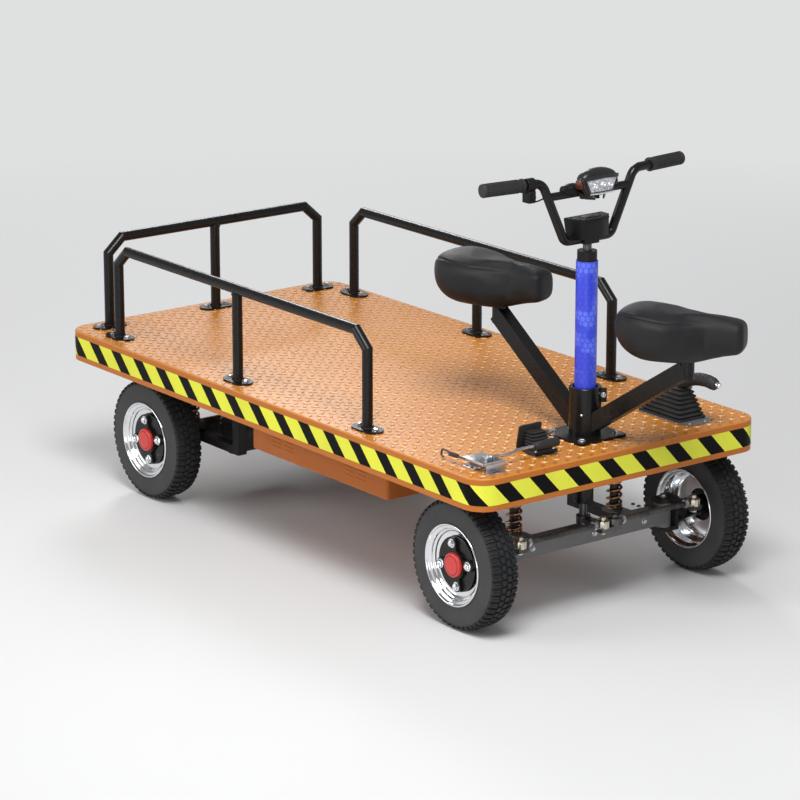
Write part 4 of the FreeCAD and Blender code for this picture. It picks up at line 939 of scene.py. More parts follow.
def lamp_ring(z, steps=48):
    """The dome's outline at a level z from -1 to 1: a rounded box |x/a|^n + |y/b|^n = 1 that
    narrows downward and closes over the top as a dome."""
    lift = np.sqrt(np.clip(1 - np.clip((z - 0.1) / 0.9, 0, 1) ** 2.4, 0.0, 1))
    low = 1 - 0.42 * np.clip((0.25 - z) / 1.25, 0, 1) ** 1.2
    half = LAMP_HALF[:2] * lift * low
    angle = np.linspace(0, 2 * np.pi, steps, endpoint=False)
    flat = power(np.stack([np.cos(angle), np.sin(angle)], axis=1), 2 / 3.2) * half
    flat[:, 0] += LAMP_HALF[0] * (0.1 * z * lift - 0.05)
    return np.column_stack([flat, np.full(steps, z * LAMP_HALF[2])])


levels = np.array([-1, -0.97, -0.9, -0.7, -0.45, -0.2, 0.05, 0.25, 0.42, 0.55, 0.68, 0.79, 0.88,
                   0.94, 0.975, 0.993])
dome_rings = np.array([lamp_ring(level) for level in levels])
dome_shape = capped(dome_rings + lamp_middle)
brow = np.linspace(-1, 1, 15)
brow_path = np.column_stack([lamp_middle[0] + LAMP_HALF[0] * (1.0 - 0.32 * brow ** 4),
                             lamp_middle[1] + 0.93 * LAMP_HALF[1] * brow,
                             lamp_middle[2] + LAMP_HALF[2] * (0.43 - 0.12 * brow ** 2)])
brow_shape = tube(brow_path, rounded_outline(0.007, 0.011, 0.0028, 3))
lamp_black = rubbery("lamp_black", (0.016, 0.016, 0.017), 0.24, grain=900.0, dust=0.1)
lamp_shell = piece("lamp_dome", "steering", lamp_black, joined(dome_shape, brow_shape),
                   sharp=50)
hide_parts("headlight_shell")

# %% Bezel, bowl, bulbs and markers
FRONT_X = lamp_middle[0] + LAMP_HALF[0]


def front_grid(top, foot, top_half, foot_half, bulge, ahead, rows=9, columns=17):
    """A trapezoid that bulges forward: x = ahead + bulge (1 - u^2)(1 - v^2/2)."""
    v, u = np.meshgrid(np.linspace(-1, 1, rows), np.linspace(-1, 1, columns), indexing="ij")
    half = foot_half + (top_half - foot_half) * (v + 1) / 2
    z = foot + (top - foot) * (v + 1) / 2
    x = ahead + bulge * (1 - u ** 2) * (1 - v ** 2 / 2)
    return np.stack([x, lamp_middle[1] + u * half, z], axis=-1).reshape(-1, 3)


def sheet(points, thick, rows=9, columns=17):
    """A grid given a thickness along x, closed round its edge."""
    back = points - (thick, 0, 0)
    count = len(points)
    front_faces = grid_faces(rows, columns)
    index = np.arange(count).reshape(rows, columns)
    rim = np.concatenate([index[0, :-1], index[:-1, -1], index[-1, :0:-1], index[:0:-1, 0]])
    nxt = np.roll(rim, -1)
    side = np.stack([rim, nxt, nxt + count, rim + count], axis=1)
    return np.concatenate([points, back]), [front_faces, front_faces + count, side]


LENS_TOP, LENS_FOOT = lamp_middle[2] + 0.0115, lamp_middle[2] - 0.0245
bezel = sheet(front_grid(LENS_TOP + 0.0025, LENS_FOOT - 0.0035, 0.0575, 0.04, 0.007,
                         FRONT_X - 0.0035), 0.02)
bowl = sheet(front_grid(LENS_TOP, LENS_FOOT, 0.053, 0.0365, 0.0075, FRONT_X - 0.0022), 0.004)
steps_y = np.array([-0.026, 0.0, 0.026])
bulb = placed(lathe([(0.0078, -0.001), (0.0078, 0.0022), (0.0066, 0.0034), (0.0045, 0.0031),
                     (0.0042, 0.0012), (0.0022, 0.0012)], 20), **TO_FRONT)
bulbs = scattered(bulb, [(FRONT_X + 0.0045 - 40 * y ** 2 * 0.06, lamp_middle[1] + y,
                          lamp_middle[2] - 0.004 - 0.003 * abs(y) / 0.026) for y in steps_y])
u = np.linspace(-1, 1, 9)
lower_lip = tube(np.column_stack([FRONT_X - 0.001 + 0.004 * (1 - u ** 2),
                                  lamp_middle[1] + 0.042 * u,
                                  np.full(9, LENS_FOOT - 0.0045)]), circle(0.0028, 10))
piece("lamp_bezel", "steering", lamp_black, bezel, sharp=40)
# Painted light on the bowl: its facets are coloured light and dark as painted reflection, and a
# faint emission makes it glow though the lamp is not lit.
reflector = Finish("reflector", (0.9, 0.91, 0.93), 0.22, Metallic=0.55)
facets = reflector.cells(150.0, where=reflector.place(scale=(0.2, 1, 1)))
reflector.set(Base_Color=reflector.blend(facets.ramp(0.1, 0.6), (0.8, 0.81, 0.83),
                                         (0.36, 0.38, 0.41)),
              Emission_Color=reflector.blend(facets, (0.55, 0.57, 0.6), (0.3, 0.31, 0.33)),
              Emission_Strength=0.12)
reflector.bump(facets, 0.5, 0.002)
bright = piece("lamp_bowl", "steering", reflector, bowl, sharp=40)
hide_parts("headlight_lens")
piece("lamp_bulbs", "steering", chrome, joined(bulbs, lower_lip), sharp=40)
amber = Finish("amber", (0.08, 0.014, 0.006), 0.25, Coat_Weight=0.3)
ripple = amber.noise(160.0, detail=2.0)
amber.set(Base_Color=amber.blend(ripple, (0.05, 0.01, 0.005), (0.12, 0.024, 0.008)))
amber.bump(ripple, 0.4, 0.001)
marker_plan = np.array([(-0.011, -0.014), (0.012, -0.012), (0.016, 0.004), (0.009, 0.013),
                        (-0.009, 0.011), (-0.014, 0.0)])
markers = [placed(plate(marker_plan, 0.005, 0.002),
                  at=(lamp_middle[0] - 0.002, lamp_middle[1] + side * (LAMP_HALF[1] * 0.93),
                      lamp_middle[2] - 0.003), **(TO_RIGHT if side < 0 else TO_LEFT))
           for side in (-1, 1)]
piece("lamp_markers", "steering", amber, joined(*markers), sharp=40)

# %% Lamp bracket and horn
LAMP_FOOT = np.array([*lamp_middle[:2], lamp_low[2]])
bracket_arm = tube(LAMP_FOOT + [(-0.03, 0, 0.01), (-0.016, 0, -0.002), (-0.002, 0, -0.004),
                                (0.01, 0, 0.002)],
                   rounded_outline(0.004, 0.036, 0.0015, 2), up=(0, 1, 0.01))
side_straps = [tube(LAMP_FOOT + [(-0.032, side * 0.045, 0.004), (-0.006, side * 0.034, -0.006),
                                 (0.012, side * 0.014, -0.007)],
                    rounded_outline(0.004, 0.012, 0.0015, 2)) for side in (-1, 1)]
bracket_bolt = placed(lathe([(0.007, 0), (0.007, 0.003), (0.0052, 0.006), (0.0052, 0.0085)], 6),
                      at=LAMP_FOOT + (0.002, 0, -0.011))
piece("lamp_bracket", "steering", black_paint,
      joined(bracket_arm, *side_straps, bracket_bolt), sharp=35)

# %% Control box and switches
box_points = positions(NODES["control_boxes"].data)
COVER_WIDTH, SWITCH_START = 0.131, 0.14
box_left = box_points[:, 1].max()
cover = box_points[box_points[:, 1] > box_left - COVER_WIDTH]
cover_low, cover_high = cover.min(0), cover.max(0)
cover_middle = (cover_low + cover_high) / 2
print("control box from", np.round(cover_low, 4), "to", np.round(cover_high, 4))
BOX_FRONT = [(-1, -0.62), (-0.72, 1.0), (0.3, 1.0), (0.86, 0.55), (1, 0.2), (1, -1), (-1, -1)]


def box_level(share, flare):
    """One level of the cover: the plan above, narrowed on its near side as it goes down."""
    half = (cover_high - cover_low)[:2] / 2
    across, ahead = np.array(BOX_FRONT, float).T
    across = np.where(across < 0, across * flare, across)
    z = cover_low[2] + share * (cover_high - cover_low)[2]
    return np.column_stack([cover_middle[0] + ahead * half[0], cover_middle[1] + across * half[1],
                            np.full(len(across), z)])


box_levels = [(0.0, 0.8), (0.03, 0.82), (0.42, 0.93), (0.86, 0.99), (0.93, 1.0), (0.97, 1.0),
              (1.0, 0.97)]
box_rings = np.array([box_level(*level) for level in box_levels])
box_rings[-1, :, 0] = cover_middle[0] + (box_rings[-1, :, 0] - cover_middle[0]) * 0.94
cover_shape = capped(box_rings)
lid_line = box_level(0.86, 0.99)
lid_line[:, :2] += (lid_line - cover_middle)[:, :2] * 0.008
lid_seam = tube(lid_line, circle(0.0009, 6), closed=True)
meter = placed(plate(rounded_outline(0.03, 0.058, 0.005, 4), 0.0022, 0.0009),
               at=(cover_middle[0], cover_middle[1] + 0.004, cover_high[2] - 0.0006))
box_screw = lathe([(0.0034, -0.001), (0.0034, 0.0012), (0.0026, 0.0018), (0.0012, 0.0012)], 12)
screw_spots = cover_middle + [(0.018, -0.045, 0), (0.018, 0.04, 0), (-0.018, -0.05, 0),
                              (-0.018, 0.05, 0)]
screw_spots[:, 2] = cover_high[2] - 0.0004
housing = box_points[box_points[:, 1] < box_left - SWITCH_START]
switch_low, switch_high = housing.min(0), housing.max(0)
switch_middle = (switch_low + switch_high) / 2
bar_height = switch_high[2] - 0.018
SWITCH_FOOT = np.array([*switch_middle[:2], switch_low[2]])
collar_ring = placed(lathe([(0.0128, -0.0133), (0.0172, -0.0133), (0.018, -0.0123),
                            (0.018, -0.0012), (0.0172, -0.0006), (0.0172, 0.0006),
                            (0.018, 0.0012), (0.018, 0.0123), (0.0172, 0.0133),
                            (0.0128, 0.0133)], 32, ring=True),
                     at=(switch_middle[0], switch_middle[1], bar_height), **TO_LEFT)
switch_body = placed(plate(rounded_outline(0.031, 0.025, 0.004, 4), 0.033, 0.002),
                     at=SWITCH_FOOT + (0, 0, 0.0005))
switch_knob = placed(lathe([(0.006, 0), (0.006, 0.004), (0.0052, 0.0055), (0.002, 0.006)], 20),
                     at=(switch_high[0] - 0.0015, switch_middle[1], switch_low[2] + 0.018),
                     **TO_FRONT)
switch_lever = placed(plate(rounded_outline(0.02, 0.009, 0.004, 4), 0.004, 0.001),
                      at=(switch_low[0] + 0.001, switch_middle[1], bar_height + 0.006),
                      **TO_FRONT)
# A short rod, held at both ends, joins the switch housing to the bar: a Bezier curve.
rod_t = np.linspace(0, 1, 14)[:, None]
rod_ends = SWITCH_FOOT + [(0, 0.006, 0.003), (0, 0.018, -0.004), (0, 0.03, 0), (0, 0.058, 0.006)]
rod_path = ((1 - rod_t) ** 3 * rod_ends[0] + 3 * rod_t * (1 - rod_t) ** 2 * rod_ends[1]
            + 3 * rod_t ** 2 * (1 - rod_t) * rod_ends[2] + rod_t ** 3 * rod_ends[3])
controls = piece("control_cover", "steering", black_plastic,
                 joined(cover_shape, lid_seam, meter, scattered(box_screw, screw_spots),
                        collar_ring, switch_body, switch_knob, switch_lever,
                        tube(rod_path, circle(0.0022, 8))),
                 sharp=30)
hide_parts("control_boxes")
horn_middle = np.array([lamp_low[0] - 0.006, -0.062, lamp_low[2] + 0.012])
horn = placed(lathe([(0.0115, -0.028), (0.0145, -0.026), (0.0155, -0.012), (0.0185, -0.006),
                     (0.0185, 0.012), (0.0165, 0.016), (0.0118, 0.018)], 28),
              at=horn_middle - (0.006, 0, 0), x=(0, 0, 1), y=(1, 0, 0))
piece("bar_sleeve", "steering", black_plastic, horn, sharp=40)

# %% [markdown]
# ## Column and seat arms
# Four silver bolts hold the column's base plate, and a pinch bolt closes the collar. A weld bead is
# a small ring whose radius ripples, like the overlapping puddles that a welder leaves: one runs
# round the top of each seat arm's post, and the guard rails have more.

# %% Bolts and welds
def hex_bolt(size, height=None):
    """A hexagon head on a washer, standing on z = 0; size is the washer's radius."""
    height = height or size * 0.62
    washer = lathe([(size, -0.0006), (size, size * 0.1), (size * 0.94, size * 0.16),
                    (size * 0.3, size * 0.16)], 28)
    head = lathe([(size * 0.76, size * 0.1), (size * 0.76, height - size * 0.1),
                  (size * 0.66, height)], 6)
    crown = lathe([(size * 0.6, height - size * 0.06), (size * 0.56, height + size * 0.03),
                   (size * 0.2, height + size * 0.05)], 18)
    return joined(washer, head, crown)


def weld_ring(radius, bead=0.0026, steps=120, ripples=40):
    """A bead round a tube: a circle of radius r(1 + k cos(n a)) carried round it."""
    a = 2 * np.pi * np.arange(steps) / steps
    b = 2 * np.pi * np.arange(8) / 8
    size = bead * (1 + 0.16 * np.cos(ripples * a))[:, None]
    out = radius + size * np.cos(b)
    points = np.stack([out * np.cos(a)[:, None], out * np.sin(a)[:, None],
                       np.broadcast_to(size * np.sin(b), out.shape)], axis=-1)
    return capped(points, ring=True)


COLUMN = box_of("column_tube")[2] * (1, 1, 0)
PLATE_TOP = DECK_TOP + 0.008
plate_bolts = scattered(hex_bolt(0.0115), COLUMN + [(x, y, PLATE_TOP) for x in (-0.062, 0.062)
                                                    for y in (-0.062, 0.062)])
piece("base_bolts", "chassis", zinc, plate_bolts, sharp=30)
LUG_ANGLE = math.radians(35)
lug_out = np.array([math.cos(LUG_ANGLE), math.sin(LUG_ANGLE), 0])
lug_side = np.array([-math.sin(LUG_ANGLE), math.cos(LUG_ANGLE), 0])
pinch = [placed(hex_bolt(0.0075, 0.006), at=COLUMN + lug_out * 0.052 + side * lug_side * 0.003
                + (0, 0, 0.58), x=(0, 0, 1), y=np.cross(side * lug_side, (0, 0, 1)))
         for side in (-1, 1)]
bore_lip = placed(lathe([(0.0352, 0), (0.0362, 0.0014), (0.0436, 0.0014), (0.0447, 0),
                         (0.0436, -0.003), (0.0362, -0.003)], 64, ring=True),
                  at=COLUMN + (0, 0, 0.6))
GREASE_TURN, COLLAR_RADIUS = -0.9, 0.0438
toward = np.array([math.cos(GREASE_TURN), math.sin(GREASE_TURN), 0])
grease = placed(lathe([(0.004, 0), (0.004, 0.003), (0.0028, 0.0036), (0.0028, 0.0066),
                       (0.0015, 0.0075)], 10),
                at=COLUMN + COLLAR_RADIUS * toward + (0, 0, 0.53),
                x=(0, 0, 1), y=(toward[1], -toward[0], 0))
piece("collar_fittings", "seat_carrier", zinc, joined(*pinch, grease),
      sharp=30)
piece("collar_lip", "seat_carrier", black_paint, bore_lip, sharp=40)
post_welds = []
for end in ("front", "rear"):
    arm_high = box_of(f"seat_arm_{end}")[1]
    arm_points = positions(NODES[f"seat_arm_{end}"].data)
    post = arm_points[arm_points[:, 2] > arm_high[2] - 0.001][:, :2].mean(0)
    post_welds.append(placed(weld_ring(0.0192, 0.0024), at=(*post, arm_high[2] - 0.012)))
    pan = lathe([(0.02, 0), (0.03, 0.003), (0.032, 0.006), (0.03, 0.009), (0.02, 0.0105)], 40)
    post_welds.append(placed(pan, at=(*post, arm_high[2] - 0.0115)))
piece("post_tops", "seat_carrier", black_paint, joined(*post_welds),
      sharp=40)

# %% [markdown]
# ## Pedals and hand brake
# The foot brake is a folded, zinc-plated bracket with a bent rod that ends in a rubber roller, and
# a hooked return rod behind it. The accelerator is a flat plate on a pleated boot. The hand brake's
# ribbed lever bows forward out of a pleated rubber gaiter.

# %% Foot brake
def box(low, high, edge=0.0006):
    """A block between two corners, its upper and lower edges rounded over."""
    low, high = np.asarray(low, float), np.asarray(high, float)
    size = high - low
    corner = min(0.0012, size[0] / 3, size[1] / 3)
    outline = rounded_outline(size[0], size[1], corner, 2)
    return placed(plate(outline, size[2], min(edge, size[2] / 3)),
                  at=(*((low + high) / 2)[:2], low[2]))


def bent(spots, steps=24):
    """A smooth path through a few places (a Catmull-Rom spline)."""
    spots = np.asarray(spots, float)
    padded = np.concatenate([[2 * spots[0] - spots[1]], spots, [2 * spots[-1] - spots[-2]]])
    t = np.linspace(0, len(spots) - 1, steps * (len(spots) - 1) // 4 + 1)
    index = np.minimum(t.astype(int), len(spots) - 2)
    u = (t - index)[:, None]
    a, b, c, d = (padded[index + k] for k in range(4))
    return 0.5 * (2 * b + (c - a) * u + (2 * a - 5 * b + 4 * c - d) * u ** 2
                  + (3 * b - a - 3 * c + d) * u ** 3)


def coil(radius, wire, height, turns, steps=20, sides=8, ends=0.75):
    """A compression spring standing on z = 0: its pitch drops to an eighth over the end turns."""
    t = np.linspace(0, 1, int(turns * steps) + 1)
    a = 2 * np.pi * turns * t
    share = ends / turns
    climb = np.clip((t - share) / (1 - 2 * share), 0, 1)
    z = wire + (height - 2 * wire) * (climb * (1 - 0.12) + 0.12 * t)
    return tube(np.column_stack([radius * np.cos(a), radius * np.sin(a), z]), circle(wire, sides))


pedal_low, pedal_high, _ = box_of("brake_pedal")
BRAKE = np.array([pedal_high[0] - 0.05, pedal_low[1] + 0.0375, DECK_TOP])
TRAY_TOP = 0.025
UNDER = TRAY_TOP - 0.001
tray = [box(low, high) for low, high in (
    ((-0.05, -0.0375, TRAY_TOP - 0.003), (0.05, 0.0375, TRAY_TOP)),
    ((-0.05, -0.0375, UNDER), (0.05, -0.0347, TRAY_TOP + 0.004)),
    ((0.0472, -0.0375, UNDER), (0.05, 0.0375, TRAY_TOP + 0.004)),
    ((0.047, -0.026, 0.001), (0.05, 0.0375, UNDER)),
    ((0.047, -0.03, 0.0), (0.0665, 0.028, 0.003)),
    ((-0.044, -0.008, 0.0), (0.04, -0.005, UNDER)),
    ((-0.044, -0.033, 0.0), (0.006, -0.006, 0.0028)),
    ((0.018, -0.0135, UNDER), (0.036, -0.0105, TRAY_TOP + 0.013)),
    ((0.018, 0.0085, UNDER), (0.036, 0.0115, TRAY_TOP + 0.013)))]
pin = placed(lathe([(0.0036, -0.019), (0.0036, 0.019)], 16), at=(0.027, -0.001, TRAY_TOP + 0.008),
             **TO_RIGHT)
return_spring = placed(coil(0.0062, 0.0011, 0.017, 6), at=(0.027, 0.0065, TRAY_TOP + 0.008),
                       **TO_RIGHT)
slot_hole = plate(rounded_outline(0.006, 0.026, 0.0029, 5), 0.0005, 0.0001)
arm_path = bent([(0.027, 0.004, TRAY_TOP + 0.006), (0.014, 0.03, TRAY_TOP + 0.0045),
                 (0.022, 0.068, TRAY_TOP + 0.005), (0.017, 0.112, TRAY_TOP + 0.009),
                 (0.024, 0.158, TRAY_TOP + 0.012), (0.028, 0.19, TRAY_TOP + 0.012)])
brake_parts = joined(*tray, pin, return_spring, tube(arm_path, circle(0.0042, 12)))
bracket = piece("brake_bracket", "chassis", zinc, placed(brake_parts, at=BRAKE))
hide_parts("brake_pedal")
brake_bolts = scattered(hex_bolt(0.0075), [(-0.0385, -0.022, 0.0028), (0.0, -0.022, 0.0028)])
piece("brake_bolts", "chassis", chrome, placed(brake_bolts, at=BRAKE),
      sharp=30)
hook_path = bent([(-0.028, -0.0362, TRAY_TOP), (-0.06, -0.0375, TRAY_TOP - 0.001),
                  (-0.095, -0.035, TRAY_TOP + 0.0015), (-0.118, -0.0335, TRAY_TOP + 0.003),
                  (-0.13, -0.032, TRAY_TOP + 0.001), (-0.135, -0.031, TRAY_TOP - 0.008),
                  (-0.136, -0.03, TRAY_TOP - 0.017), (-0.129, -0.029, TRAY_TOP - 0.021)])
wound = placed(coil(0.0046, 0.0013, 0.034, 9), at=(-0.058, -0.0372, TRAY_TOP - 0.0006),
               x=(0, 0, 1), y=(0, 1, 0))
piece("brake_hook", "chassis", dark_steel,
      placed(joined(tube(hook_path, circle(0.003, 10)), wound,
                    placed(slot_hole, at=(0.058, -0.001, 0.0029))), at=BRAKE))
ROLLER = [(0.0045, -0.001), (0.0092, 0.0), (0.0108, 0.0022), (0.0116, 0.02), (0.0122, 0.05),
          (0.0126, 0.07), (0.0126, 0.0765), (0.0114, 0.079), (0.006, 0.0796), (0.0054, 0.0782)]
roller_start = np.array([0.0265, pedal_high[1] - 0.08 - BRAKE[1], TRAY_TOP + 0.0122])
roller = placed(lathe(ROLLER, 28), at=BRAKE + roller_start, **TO_LEFT)
piece("brake_roller", "chassis", grip_rubber, roller, sharp=50)

# %% Accelerator
throttle_low, throttle_high, _ = box_of("throttle_pedal")
THROTTLE = np.array([throttle_low[0] + 0.04, (throttle_low[1] + throttle_high[1]) / 2, DECK_TOP])


def pleated(levels, pleats, deep, corner, steps=5):
    """Rounded oblongs stacked up a boot. Each level is (height, length, width, lean, shift); the
    skin goes in and out by deep cos(2 pi n t), so the pleats follow the boot's taper."""
    levels = np.asarray(levels, float)
    t = np.linspace(0, 1, pleats * 6 + 1)
    share = np.linspace(0, 1, len(levels))
    height, length, width, x, y = (np.interp(t, share, levels[:, k]) for k in range(5))
    fold = deep * np.cos(2 * np.pi * pleats * t)
    rings = [np.column_stack([rounded_outline(l + 2 * f, w + 2 * f, corner, steps) + (a, b),
                              np.full(4 * (steps + 1), h)])
             for h, l, w, a, b, f in zip(height, length, width, x, y, fold)]
    return capped(np.array(rings))


boot = pleated([(0.006, 0.05, 0.062, 0.006, 0.002), (0.028, 0.044, 0.056, -0.002, 0.004),
                (0.052, 0.032, 0.05, -0.012, 0.006)], 6, 0.0022, 0.009)
base_plan = np.array([(-0.036, -0.03), (0.016, -0.043), (0.04, -0.036), (0.044, 0.03),
                      (0.036, 0.043), (-0.03, 0.04)])
base = plate(base_plan, 0.009, 0.002)
SOLE, UPWARD, OUTWARD = np.array([-0.0325, 0.002, 0.036]), unit((0.2, 0, 1)), unit((-1, 0, 0.2))
foot_plate = placed(plate(rounded_outline(0.066, 0.078, 0.006, 4), 0.006, 0.0016), at=SOLE,
                    x=UPWARD, y=(0, 1, 0))
tread_bars = [placed(plate(rounded_outline(0.0035, 0.066, 0.0015, 2), 0.0016, 0.0006),
                     at=SOLE + step * UPWARD + 0.0016 * OUTWARD, x=UPWARD, y=(0, 1, 0))
              for step in np.linspace(-0.026, 0.026, 7)]
pedal_piece = piece("accelerator", "chassis", grip_rubber,
                    placed(joined(boot, base, foot_plate, *tread_bars), at=THROTTLE),
                    sharp=40)
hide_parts("throttle_pedal")
base_screws = scattered(hex_bolt(0.0055), [(0.03, -0.028, 0.009), (0.032, 0.032, 0.009)])
clevis = joined(tube(bent([(-0.012, 0.03, 0.032), (-0.026, 0.06, 0.03), (-0.04, 0.088, 0.029)]),
                     circle(0.0032, 10)),
                box((-0.05, 0.084, 0.02), (-0.034, 0.104, 0.0225)),
                box((-0.05, 0.084, 0.0335), (-0.034, 0.104, 0.036)),
                placed(lathe([(0.0042, 0.017), (0.0042, 0.0395), (0.003, 0.0405)], 12),
                       at=(-0.042, 0.096, 0)))
piece("accelerator_link", "chassis", zinc, placed(joined(base_screws, clevis), at=THROTTLE),
      sharp=35)

# %% Hand brake
lever_low, lever_high, _ = box_of("hand_brake")
gaiter_low, gaiter_high, gaiter_middle = box_of("brake_gaiter")
LEVER_Y = gaiter_middle[1]
base_length = gaiter_high[0] - gaiter_low[0]
gaiter = pleated([(0.0, base_length, 0.096, 0.0, 0.0),
                  (0.02, base_length * 0.88, 0.088, 0.003, 0.0),
                  (0.042, base_length * 0.68, 0.076, 0.012, 0.0),
                  (0.062, base_length * 0.47, 0.062, 0.024, 0.0),
                  (0.084, 0.046, 0.046, 0.036, 0.0)], 7, 0.0028, 0.012)
hem = plate(rounded_outline(base_length + 0.004, 0.1, 0.01, 4), 0.006, 0.002)
gaiter_skin = piece("pleated_gaiter", "chassis", grip_rubber,
                    placed(joined(gaiter, hem), at=(gaiter_middle[0], LEVER_Y, gaiter_low[2])),
                    sharp=50)
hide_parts("brake_gaiter")
TIP = np.array([lever_high[0] - 0.004, LEVER_Y, lever_high[2] - 0.0165])
lever_path = bent(TIP + [(-0.17, 0, -0.05), (-0.145, 0, -0.026), (-0.1, 0, -0.0045),
                         (-0.05, 0, 0.0015), (-0.012, 0, -0.0045)], 60)
run_share = np.linspace(0, 1, len(lever_path))
swell = np.interp(run_share, [0, 0.12, 0.3, 0.6, 0.92, 0.97, 1.0],
                  [0.0105, 0.012, 0.0155, 0.0175, 0.0168, 0.015, 0.009])
ribs = np.where((run_share > 0.28) & (run_share < 0.9),
                0.0012 * np.cos(run_share * 2 * np.pi * 17), 0)
unit_ring = circle(1.0, 20)
lever_shape, lever_faces = tube(lever_path, unit_ring, up=(0, 1, 0))
axis_points = np.repeat(lever_path, 20, axis=0)
lever_shape = axis_points + (lever_shape - axis_points) * np.repeat(swell + ribs, 20)[:, None]
stem_sleeve = placed(lathe([(0.012, -0.05), (0.0175, -0.046), (0.0178, -0.03), (0.0158, -0.028),
                            (0.0158, -0.012), (0.0175, -0.01), (0.0172, 0.002),
                            (0.012, 0.006)], 24),
                     at=lever_path[2] + (0.002, 0, -0.004), x=(0, 1, 0), y=unit((-1, 0, 0.55)))
lever_piece = piece("hand_lever", "chassis", grip_rubber,
                    joined((lever_shape, lever_faces), stem_sleeve), sharp=50)
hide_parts("hand_brake")
button = placed(lathe([(0.0068, -0.012), (0.0068, 0.0), (0.0085, 0.001), (0.0085, 0.006),
                       (0.0074, 0.0085), (0.004, 0.0096)], 24), at=TIP - (0.008, 0, 0.0015),
                x=(0, 1, 0), y=unit((0.25, 0, 1)))
piece("lever_button", "chassis", chrome, button, sharp=40)
plate_plan = rounded_outline(lever_high[0] - lever_low[0] - 0.1, 0.106, 0.01, 4)
lever_plate = placed(plate(plate_plan, 0.004, 0.0012), at=(lever_low[0] + 0.1, LEVER_Y, DECK_TOP))
plate_tongue = placed(plate(np.array([(-0.02, -0.05), (0.03, -0.044), (0.036, 0.02), (0.016, 0.054),
                                      (-0.02, 0.053)]), 0.0034, 0.001),
                      at=(gaiter_high[0] + 0.004, LEVER_Y, DECK_TOP))
piece("lever_plate", "chassis", grey_paint, joined(lever_plate, plate_tongue))
piece("lever_bolts", "chassis", zinc,
      placed(scattered(hex_bolt(0.0062), [(0.022, -0.034, 0.0036), (0.026, 0.018, 0.0036)]),
             at=(gaiter_high[0] + 0.003, LEVER_Y, DECK_TOP)), sharp=30)

# %% [markdown]
# ## Springs, axle and drive
# Each corner stands on a copper-coloured coil over a dark damper, between two pressed cups. A coil
# is one wire carried up a helix whose pitch drops to an eighth at both ends, so the end turns lie
# nearly flat. The tie rods end in ribbed ball joints, with a nut below each and another on the rod;
# the inner one on the left is dark steel as painted shade.

# %% Springs
def spring_unit(foot, height, turns):
    """Wire, cups and damper of one spring, as three shapes that stand on a point."""
    wire = placed(coil(0.0192, 0.0041, height - 0.008, turns), at=(0, 0, 0.004))
    cup = lathe([(0.004, 0), (0.0228, 0), (0.0235, 0.0012), (0.0235, 0.0052), (0.0222, 0.0056),
                 (0.0216, 0.0034), (0.0135, 0.003), (0.0128, 0.0078), (0.004, 0.008)], 32)
    top_cup = placed(cup, at=(0, 0, height), **DOWN)
    damper = lathe([(0.0128, 0.002), (0.0128, height * 0.52), (0.0118, height * 0.545),
                    (0.0066, height * 0.55), (0.0066, height - 0.002)], 24)
    return [placed(shape, at=foot) for shape in (wire, joined(cup, top_cup), damper)]


spring_counts = {"front": 9.5, "rear": 9.0}
for end, turns in spring_counts.items():
    low, high, middle = box_of(f"{end}_springs")
    units = [spring_unit((middle[0], side * (high[1] - 0.0235), low[2]), high[2] - low[2], turns)
             for side in (-1, 1)]
    wires, cups, dampers = (joined(*parts) for parts in zip(*units))
    springs = piece(f"coil_springs_{end}", "chassis", copper, wires, sharp=80)
    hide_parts(f"{end}_springs")
    piece(f"spring_cups_{end}", "chassis", brass, cups, sharp=40)
    piece(f"dampers_{end}", "chassis", frame_paint, dampers, sharp=40)

# %% Ball joints and axle fittings
JOINT = [(0.0085, -0.0145), (0.0095, -0.0195), (0.0125, -0.0195), (0.0125, -0.0125),
         (0.0165, -0.0115), (0.0178, -0.0095), (0.0178, 0.0085), (0.0165, 0.0105),
         (0.0105, 0.0125), (0.0088, 0.0125), (0.0088, 0.02), (0.0078, 0.021), (0.003, 0.0212)]


def ball_joint():
    """A ball joint whose radius ripples round it, r(1 + k cos 12a), with a nut below."""
    points, faces = lathe(JOINT, 72)
    angle = np.arctan2(points[:, 1], points[:, 0])
    radius = np.hypot(points[:, 0], points[:, 1])
    ripple = 1 + 0.045 * np.cos(12 * angle) * (radius > 0.0164)
    points = points * np.stack([ripple, ripple, np.ones_like(ripple)], axis=1)
    nut_below = placed(lathe([(0.0108, 0), (0.0108, 0.0072), (0.0098, 0.0085), (0.004, 0.009)], 6),
                       at=(0, 0, -0.0195), **DOWN)
    return joined((points, faces), nut_below)


for side, hand in ((-1, "right"), (1, "left")):
    low, high, middle = box_of(f"tie_rod_{hand}")
    ends = [low[1] + 0.015, high[1] - 0.015]
    for place, y in zip(("inner", "outer"), sorted(ends, key=abs)):
        # Painted shade: the inner ball joint on the left is given dark steel, the others brass.
        plated = dark_steel if (place, hand) == ("inner", "left") else brass
        piece(f"ball_joint_{place}_{hand}", f"tie_rod_{hand}", plated,
              placed(ball_joint(), at=(middle[0], y, middle[2])), sharp=40)
    lock = placed(lathe([(0.0095, 0), (0.0125, 0.001), (0.0125, 0.011), (0.0095, 0.012)], 6),
                  **TO_LEFT)
    locks = scattered(lock, [(middle[0], ends[0] + 0.024, middle[2]),
                             (middle[0], ends[1] - 0.036, middle[2])])
    piece(f"rod_locks_{hand}", f"tie_rod_{hand}", zinc, locks, sharp=30)

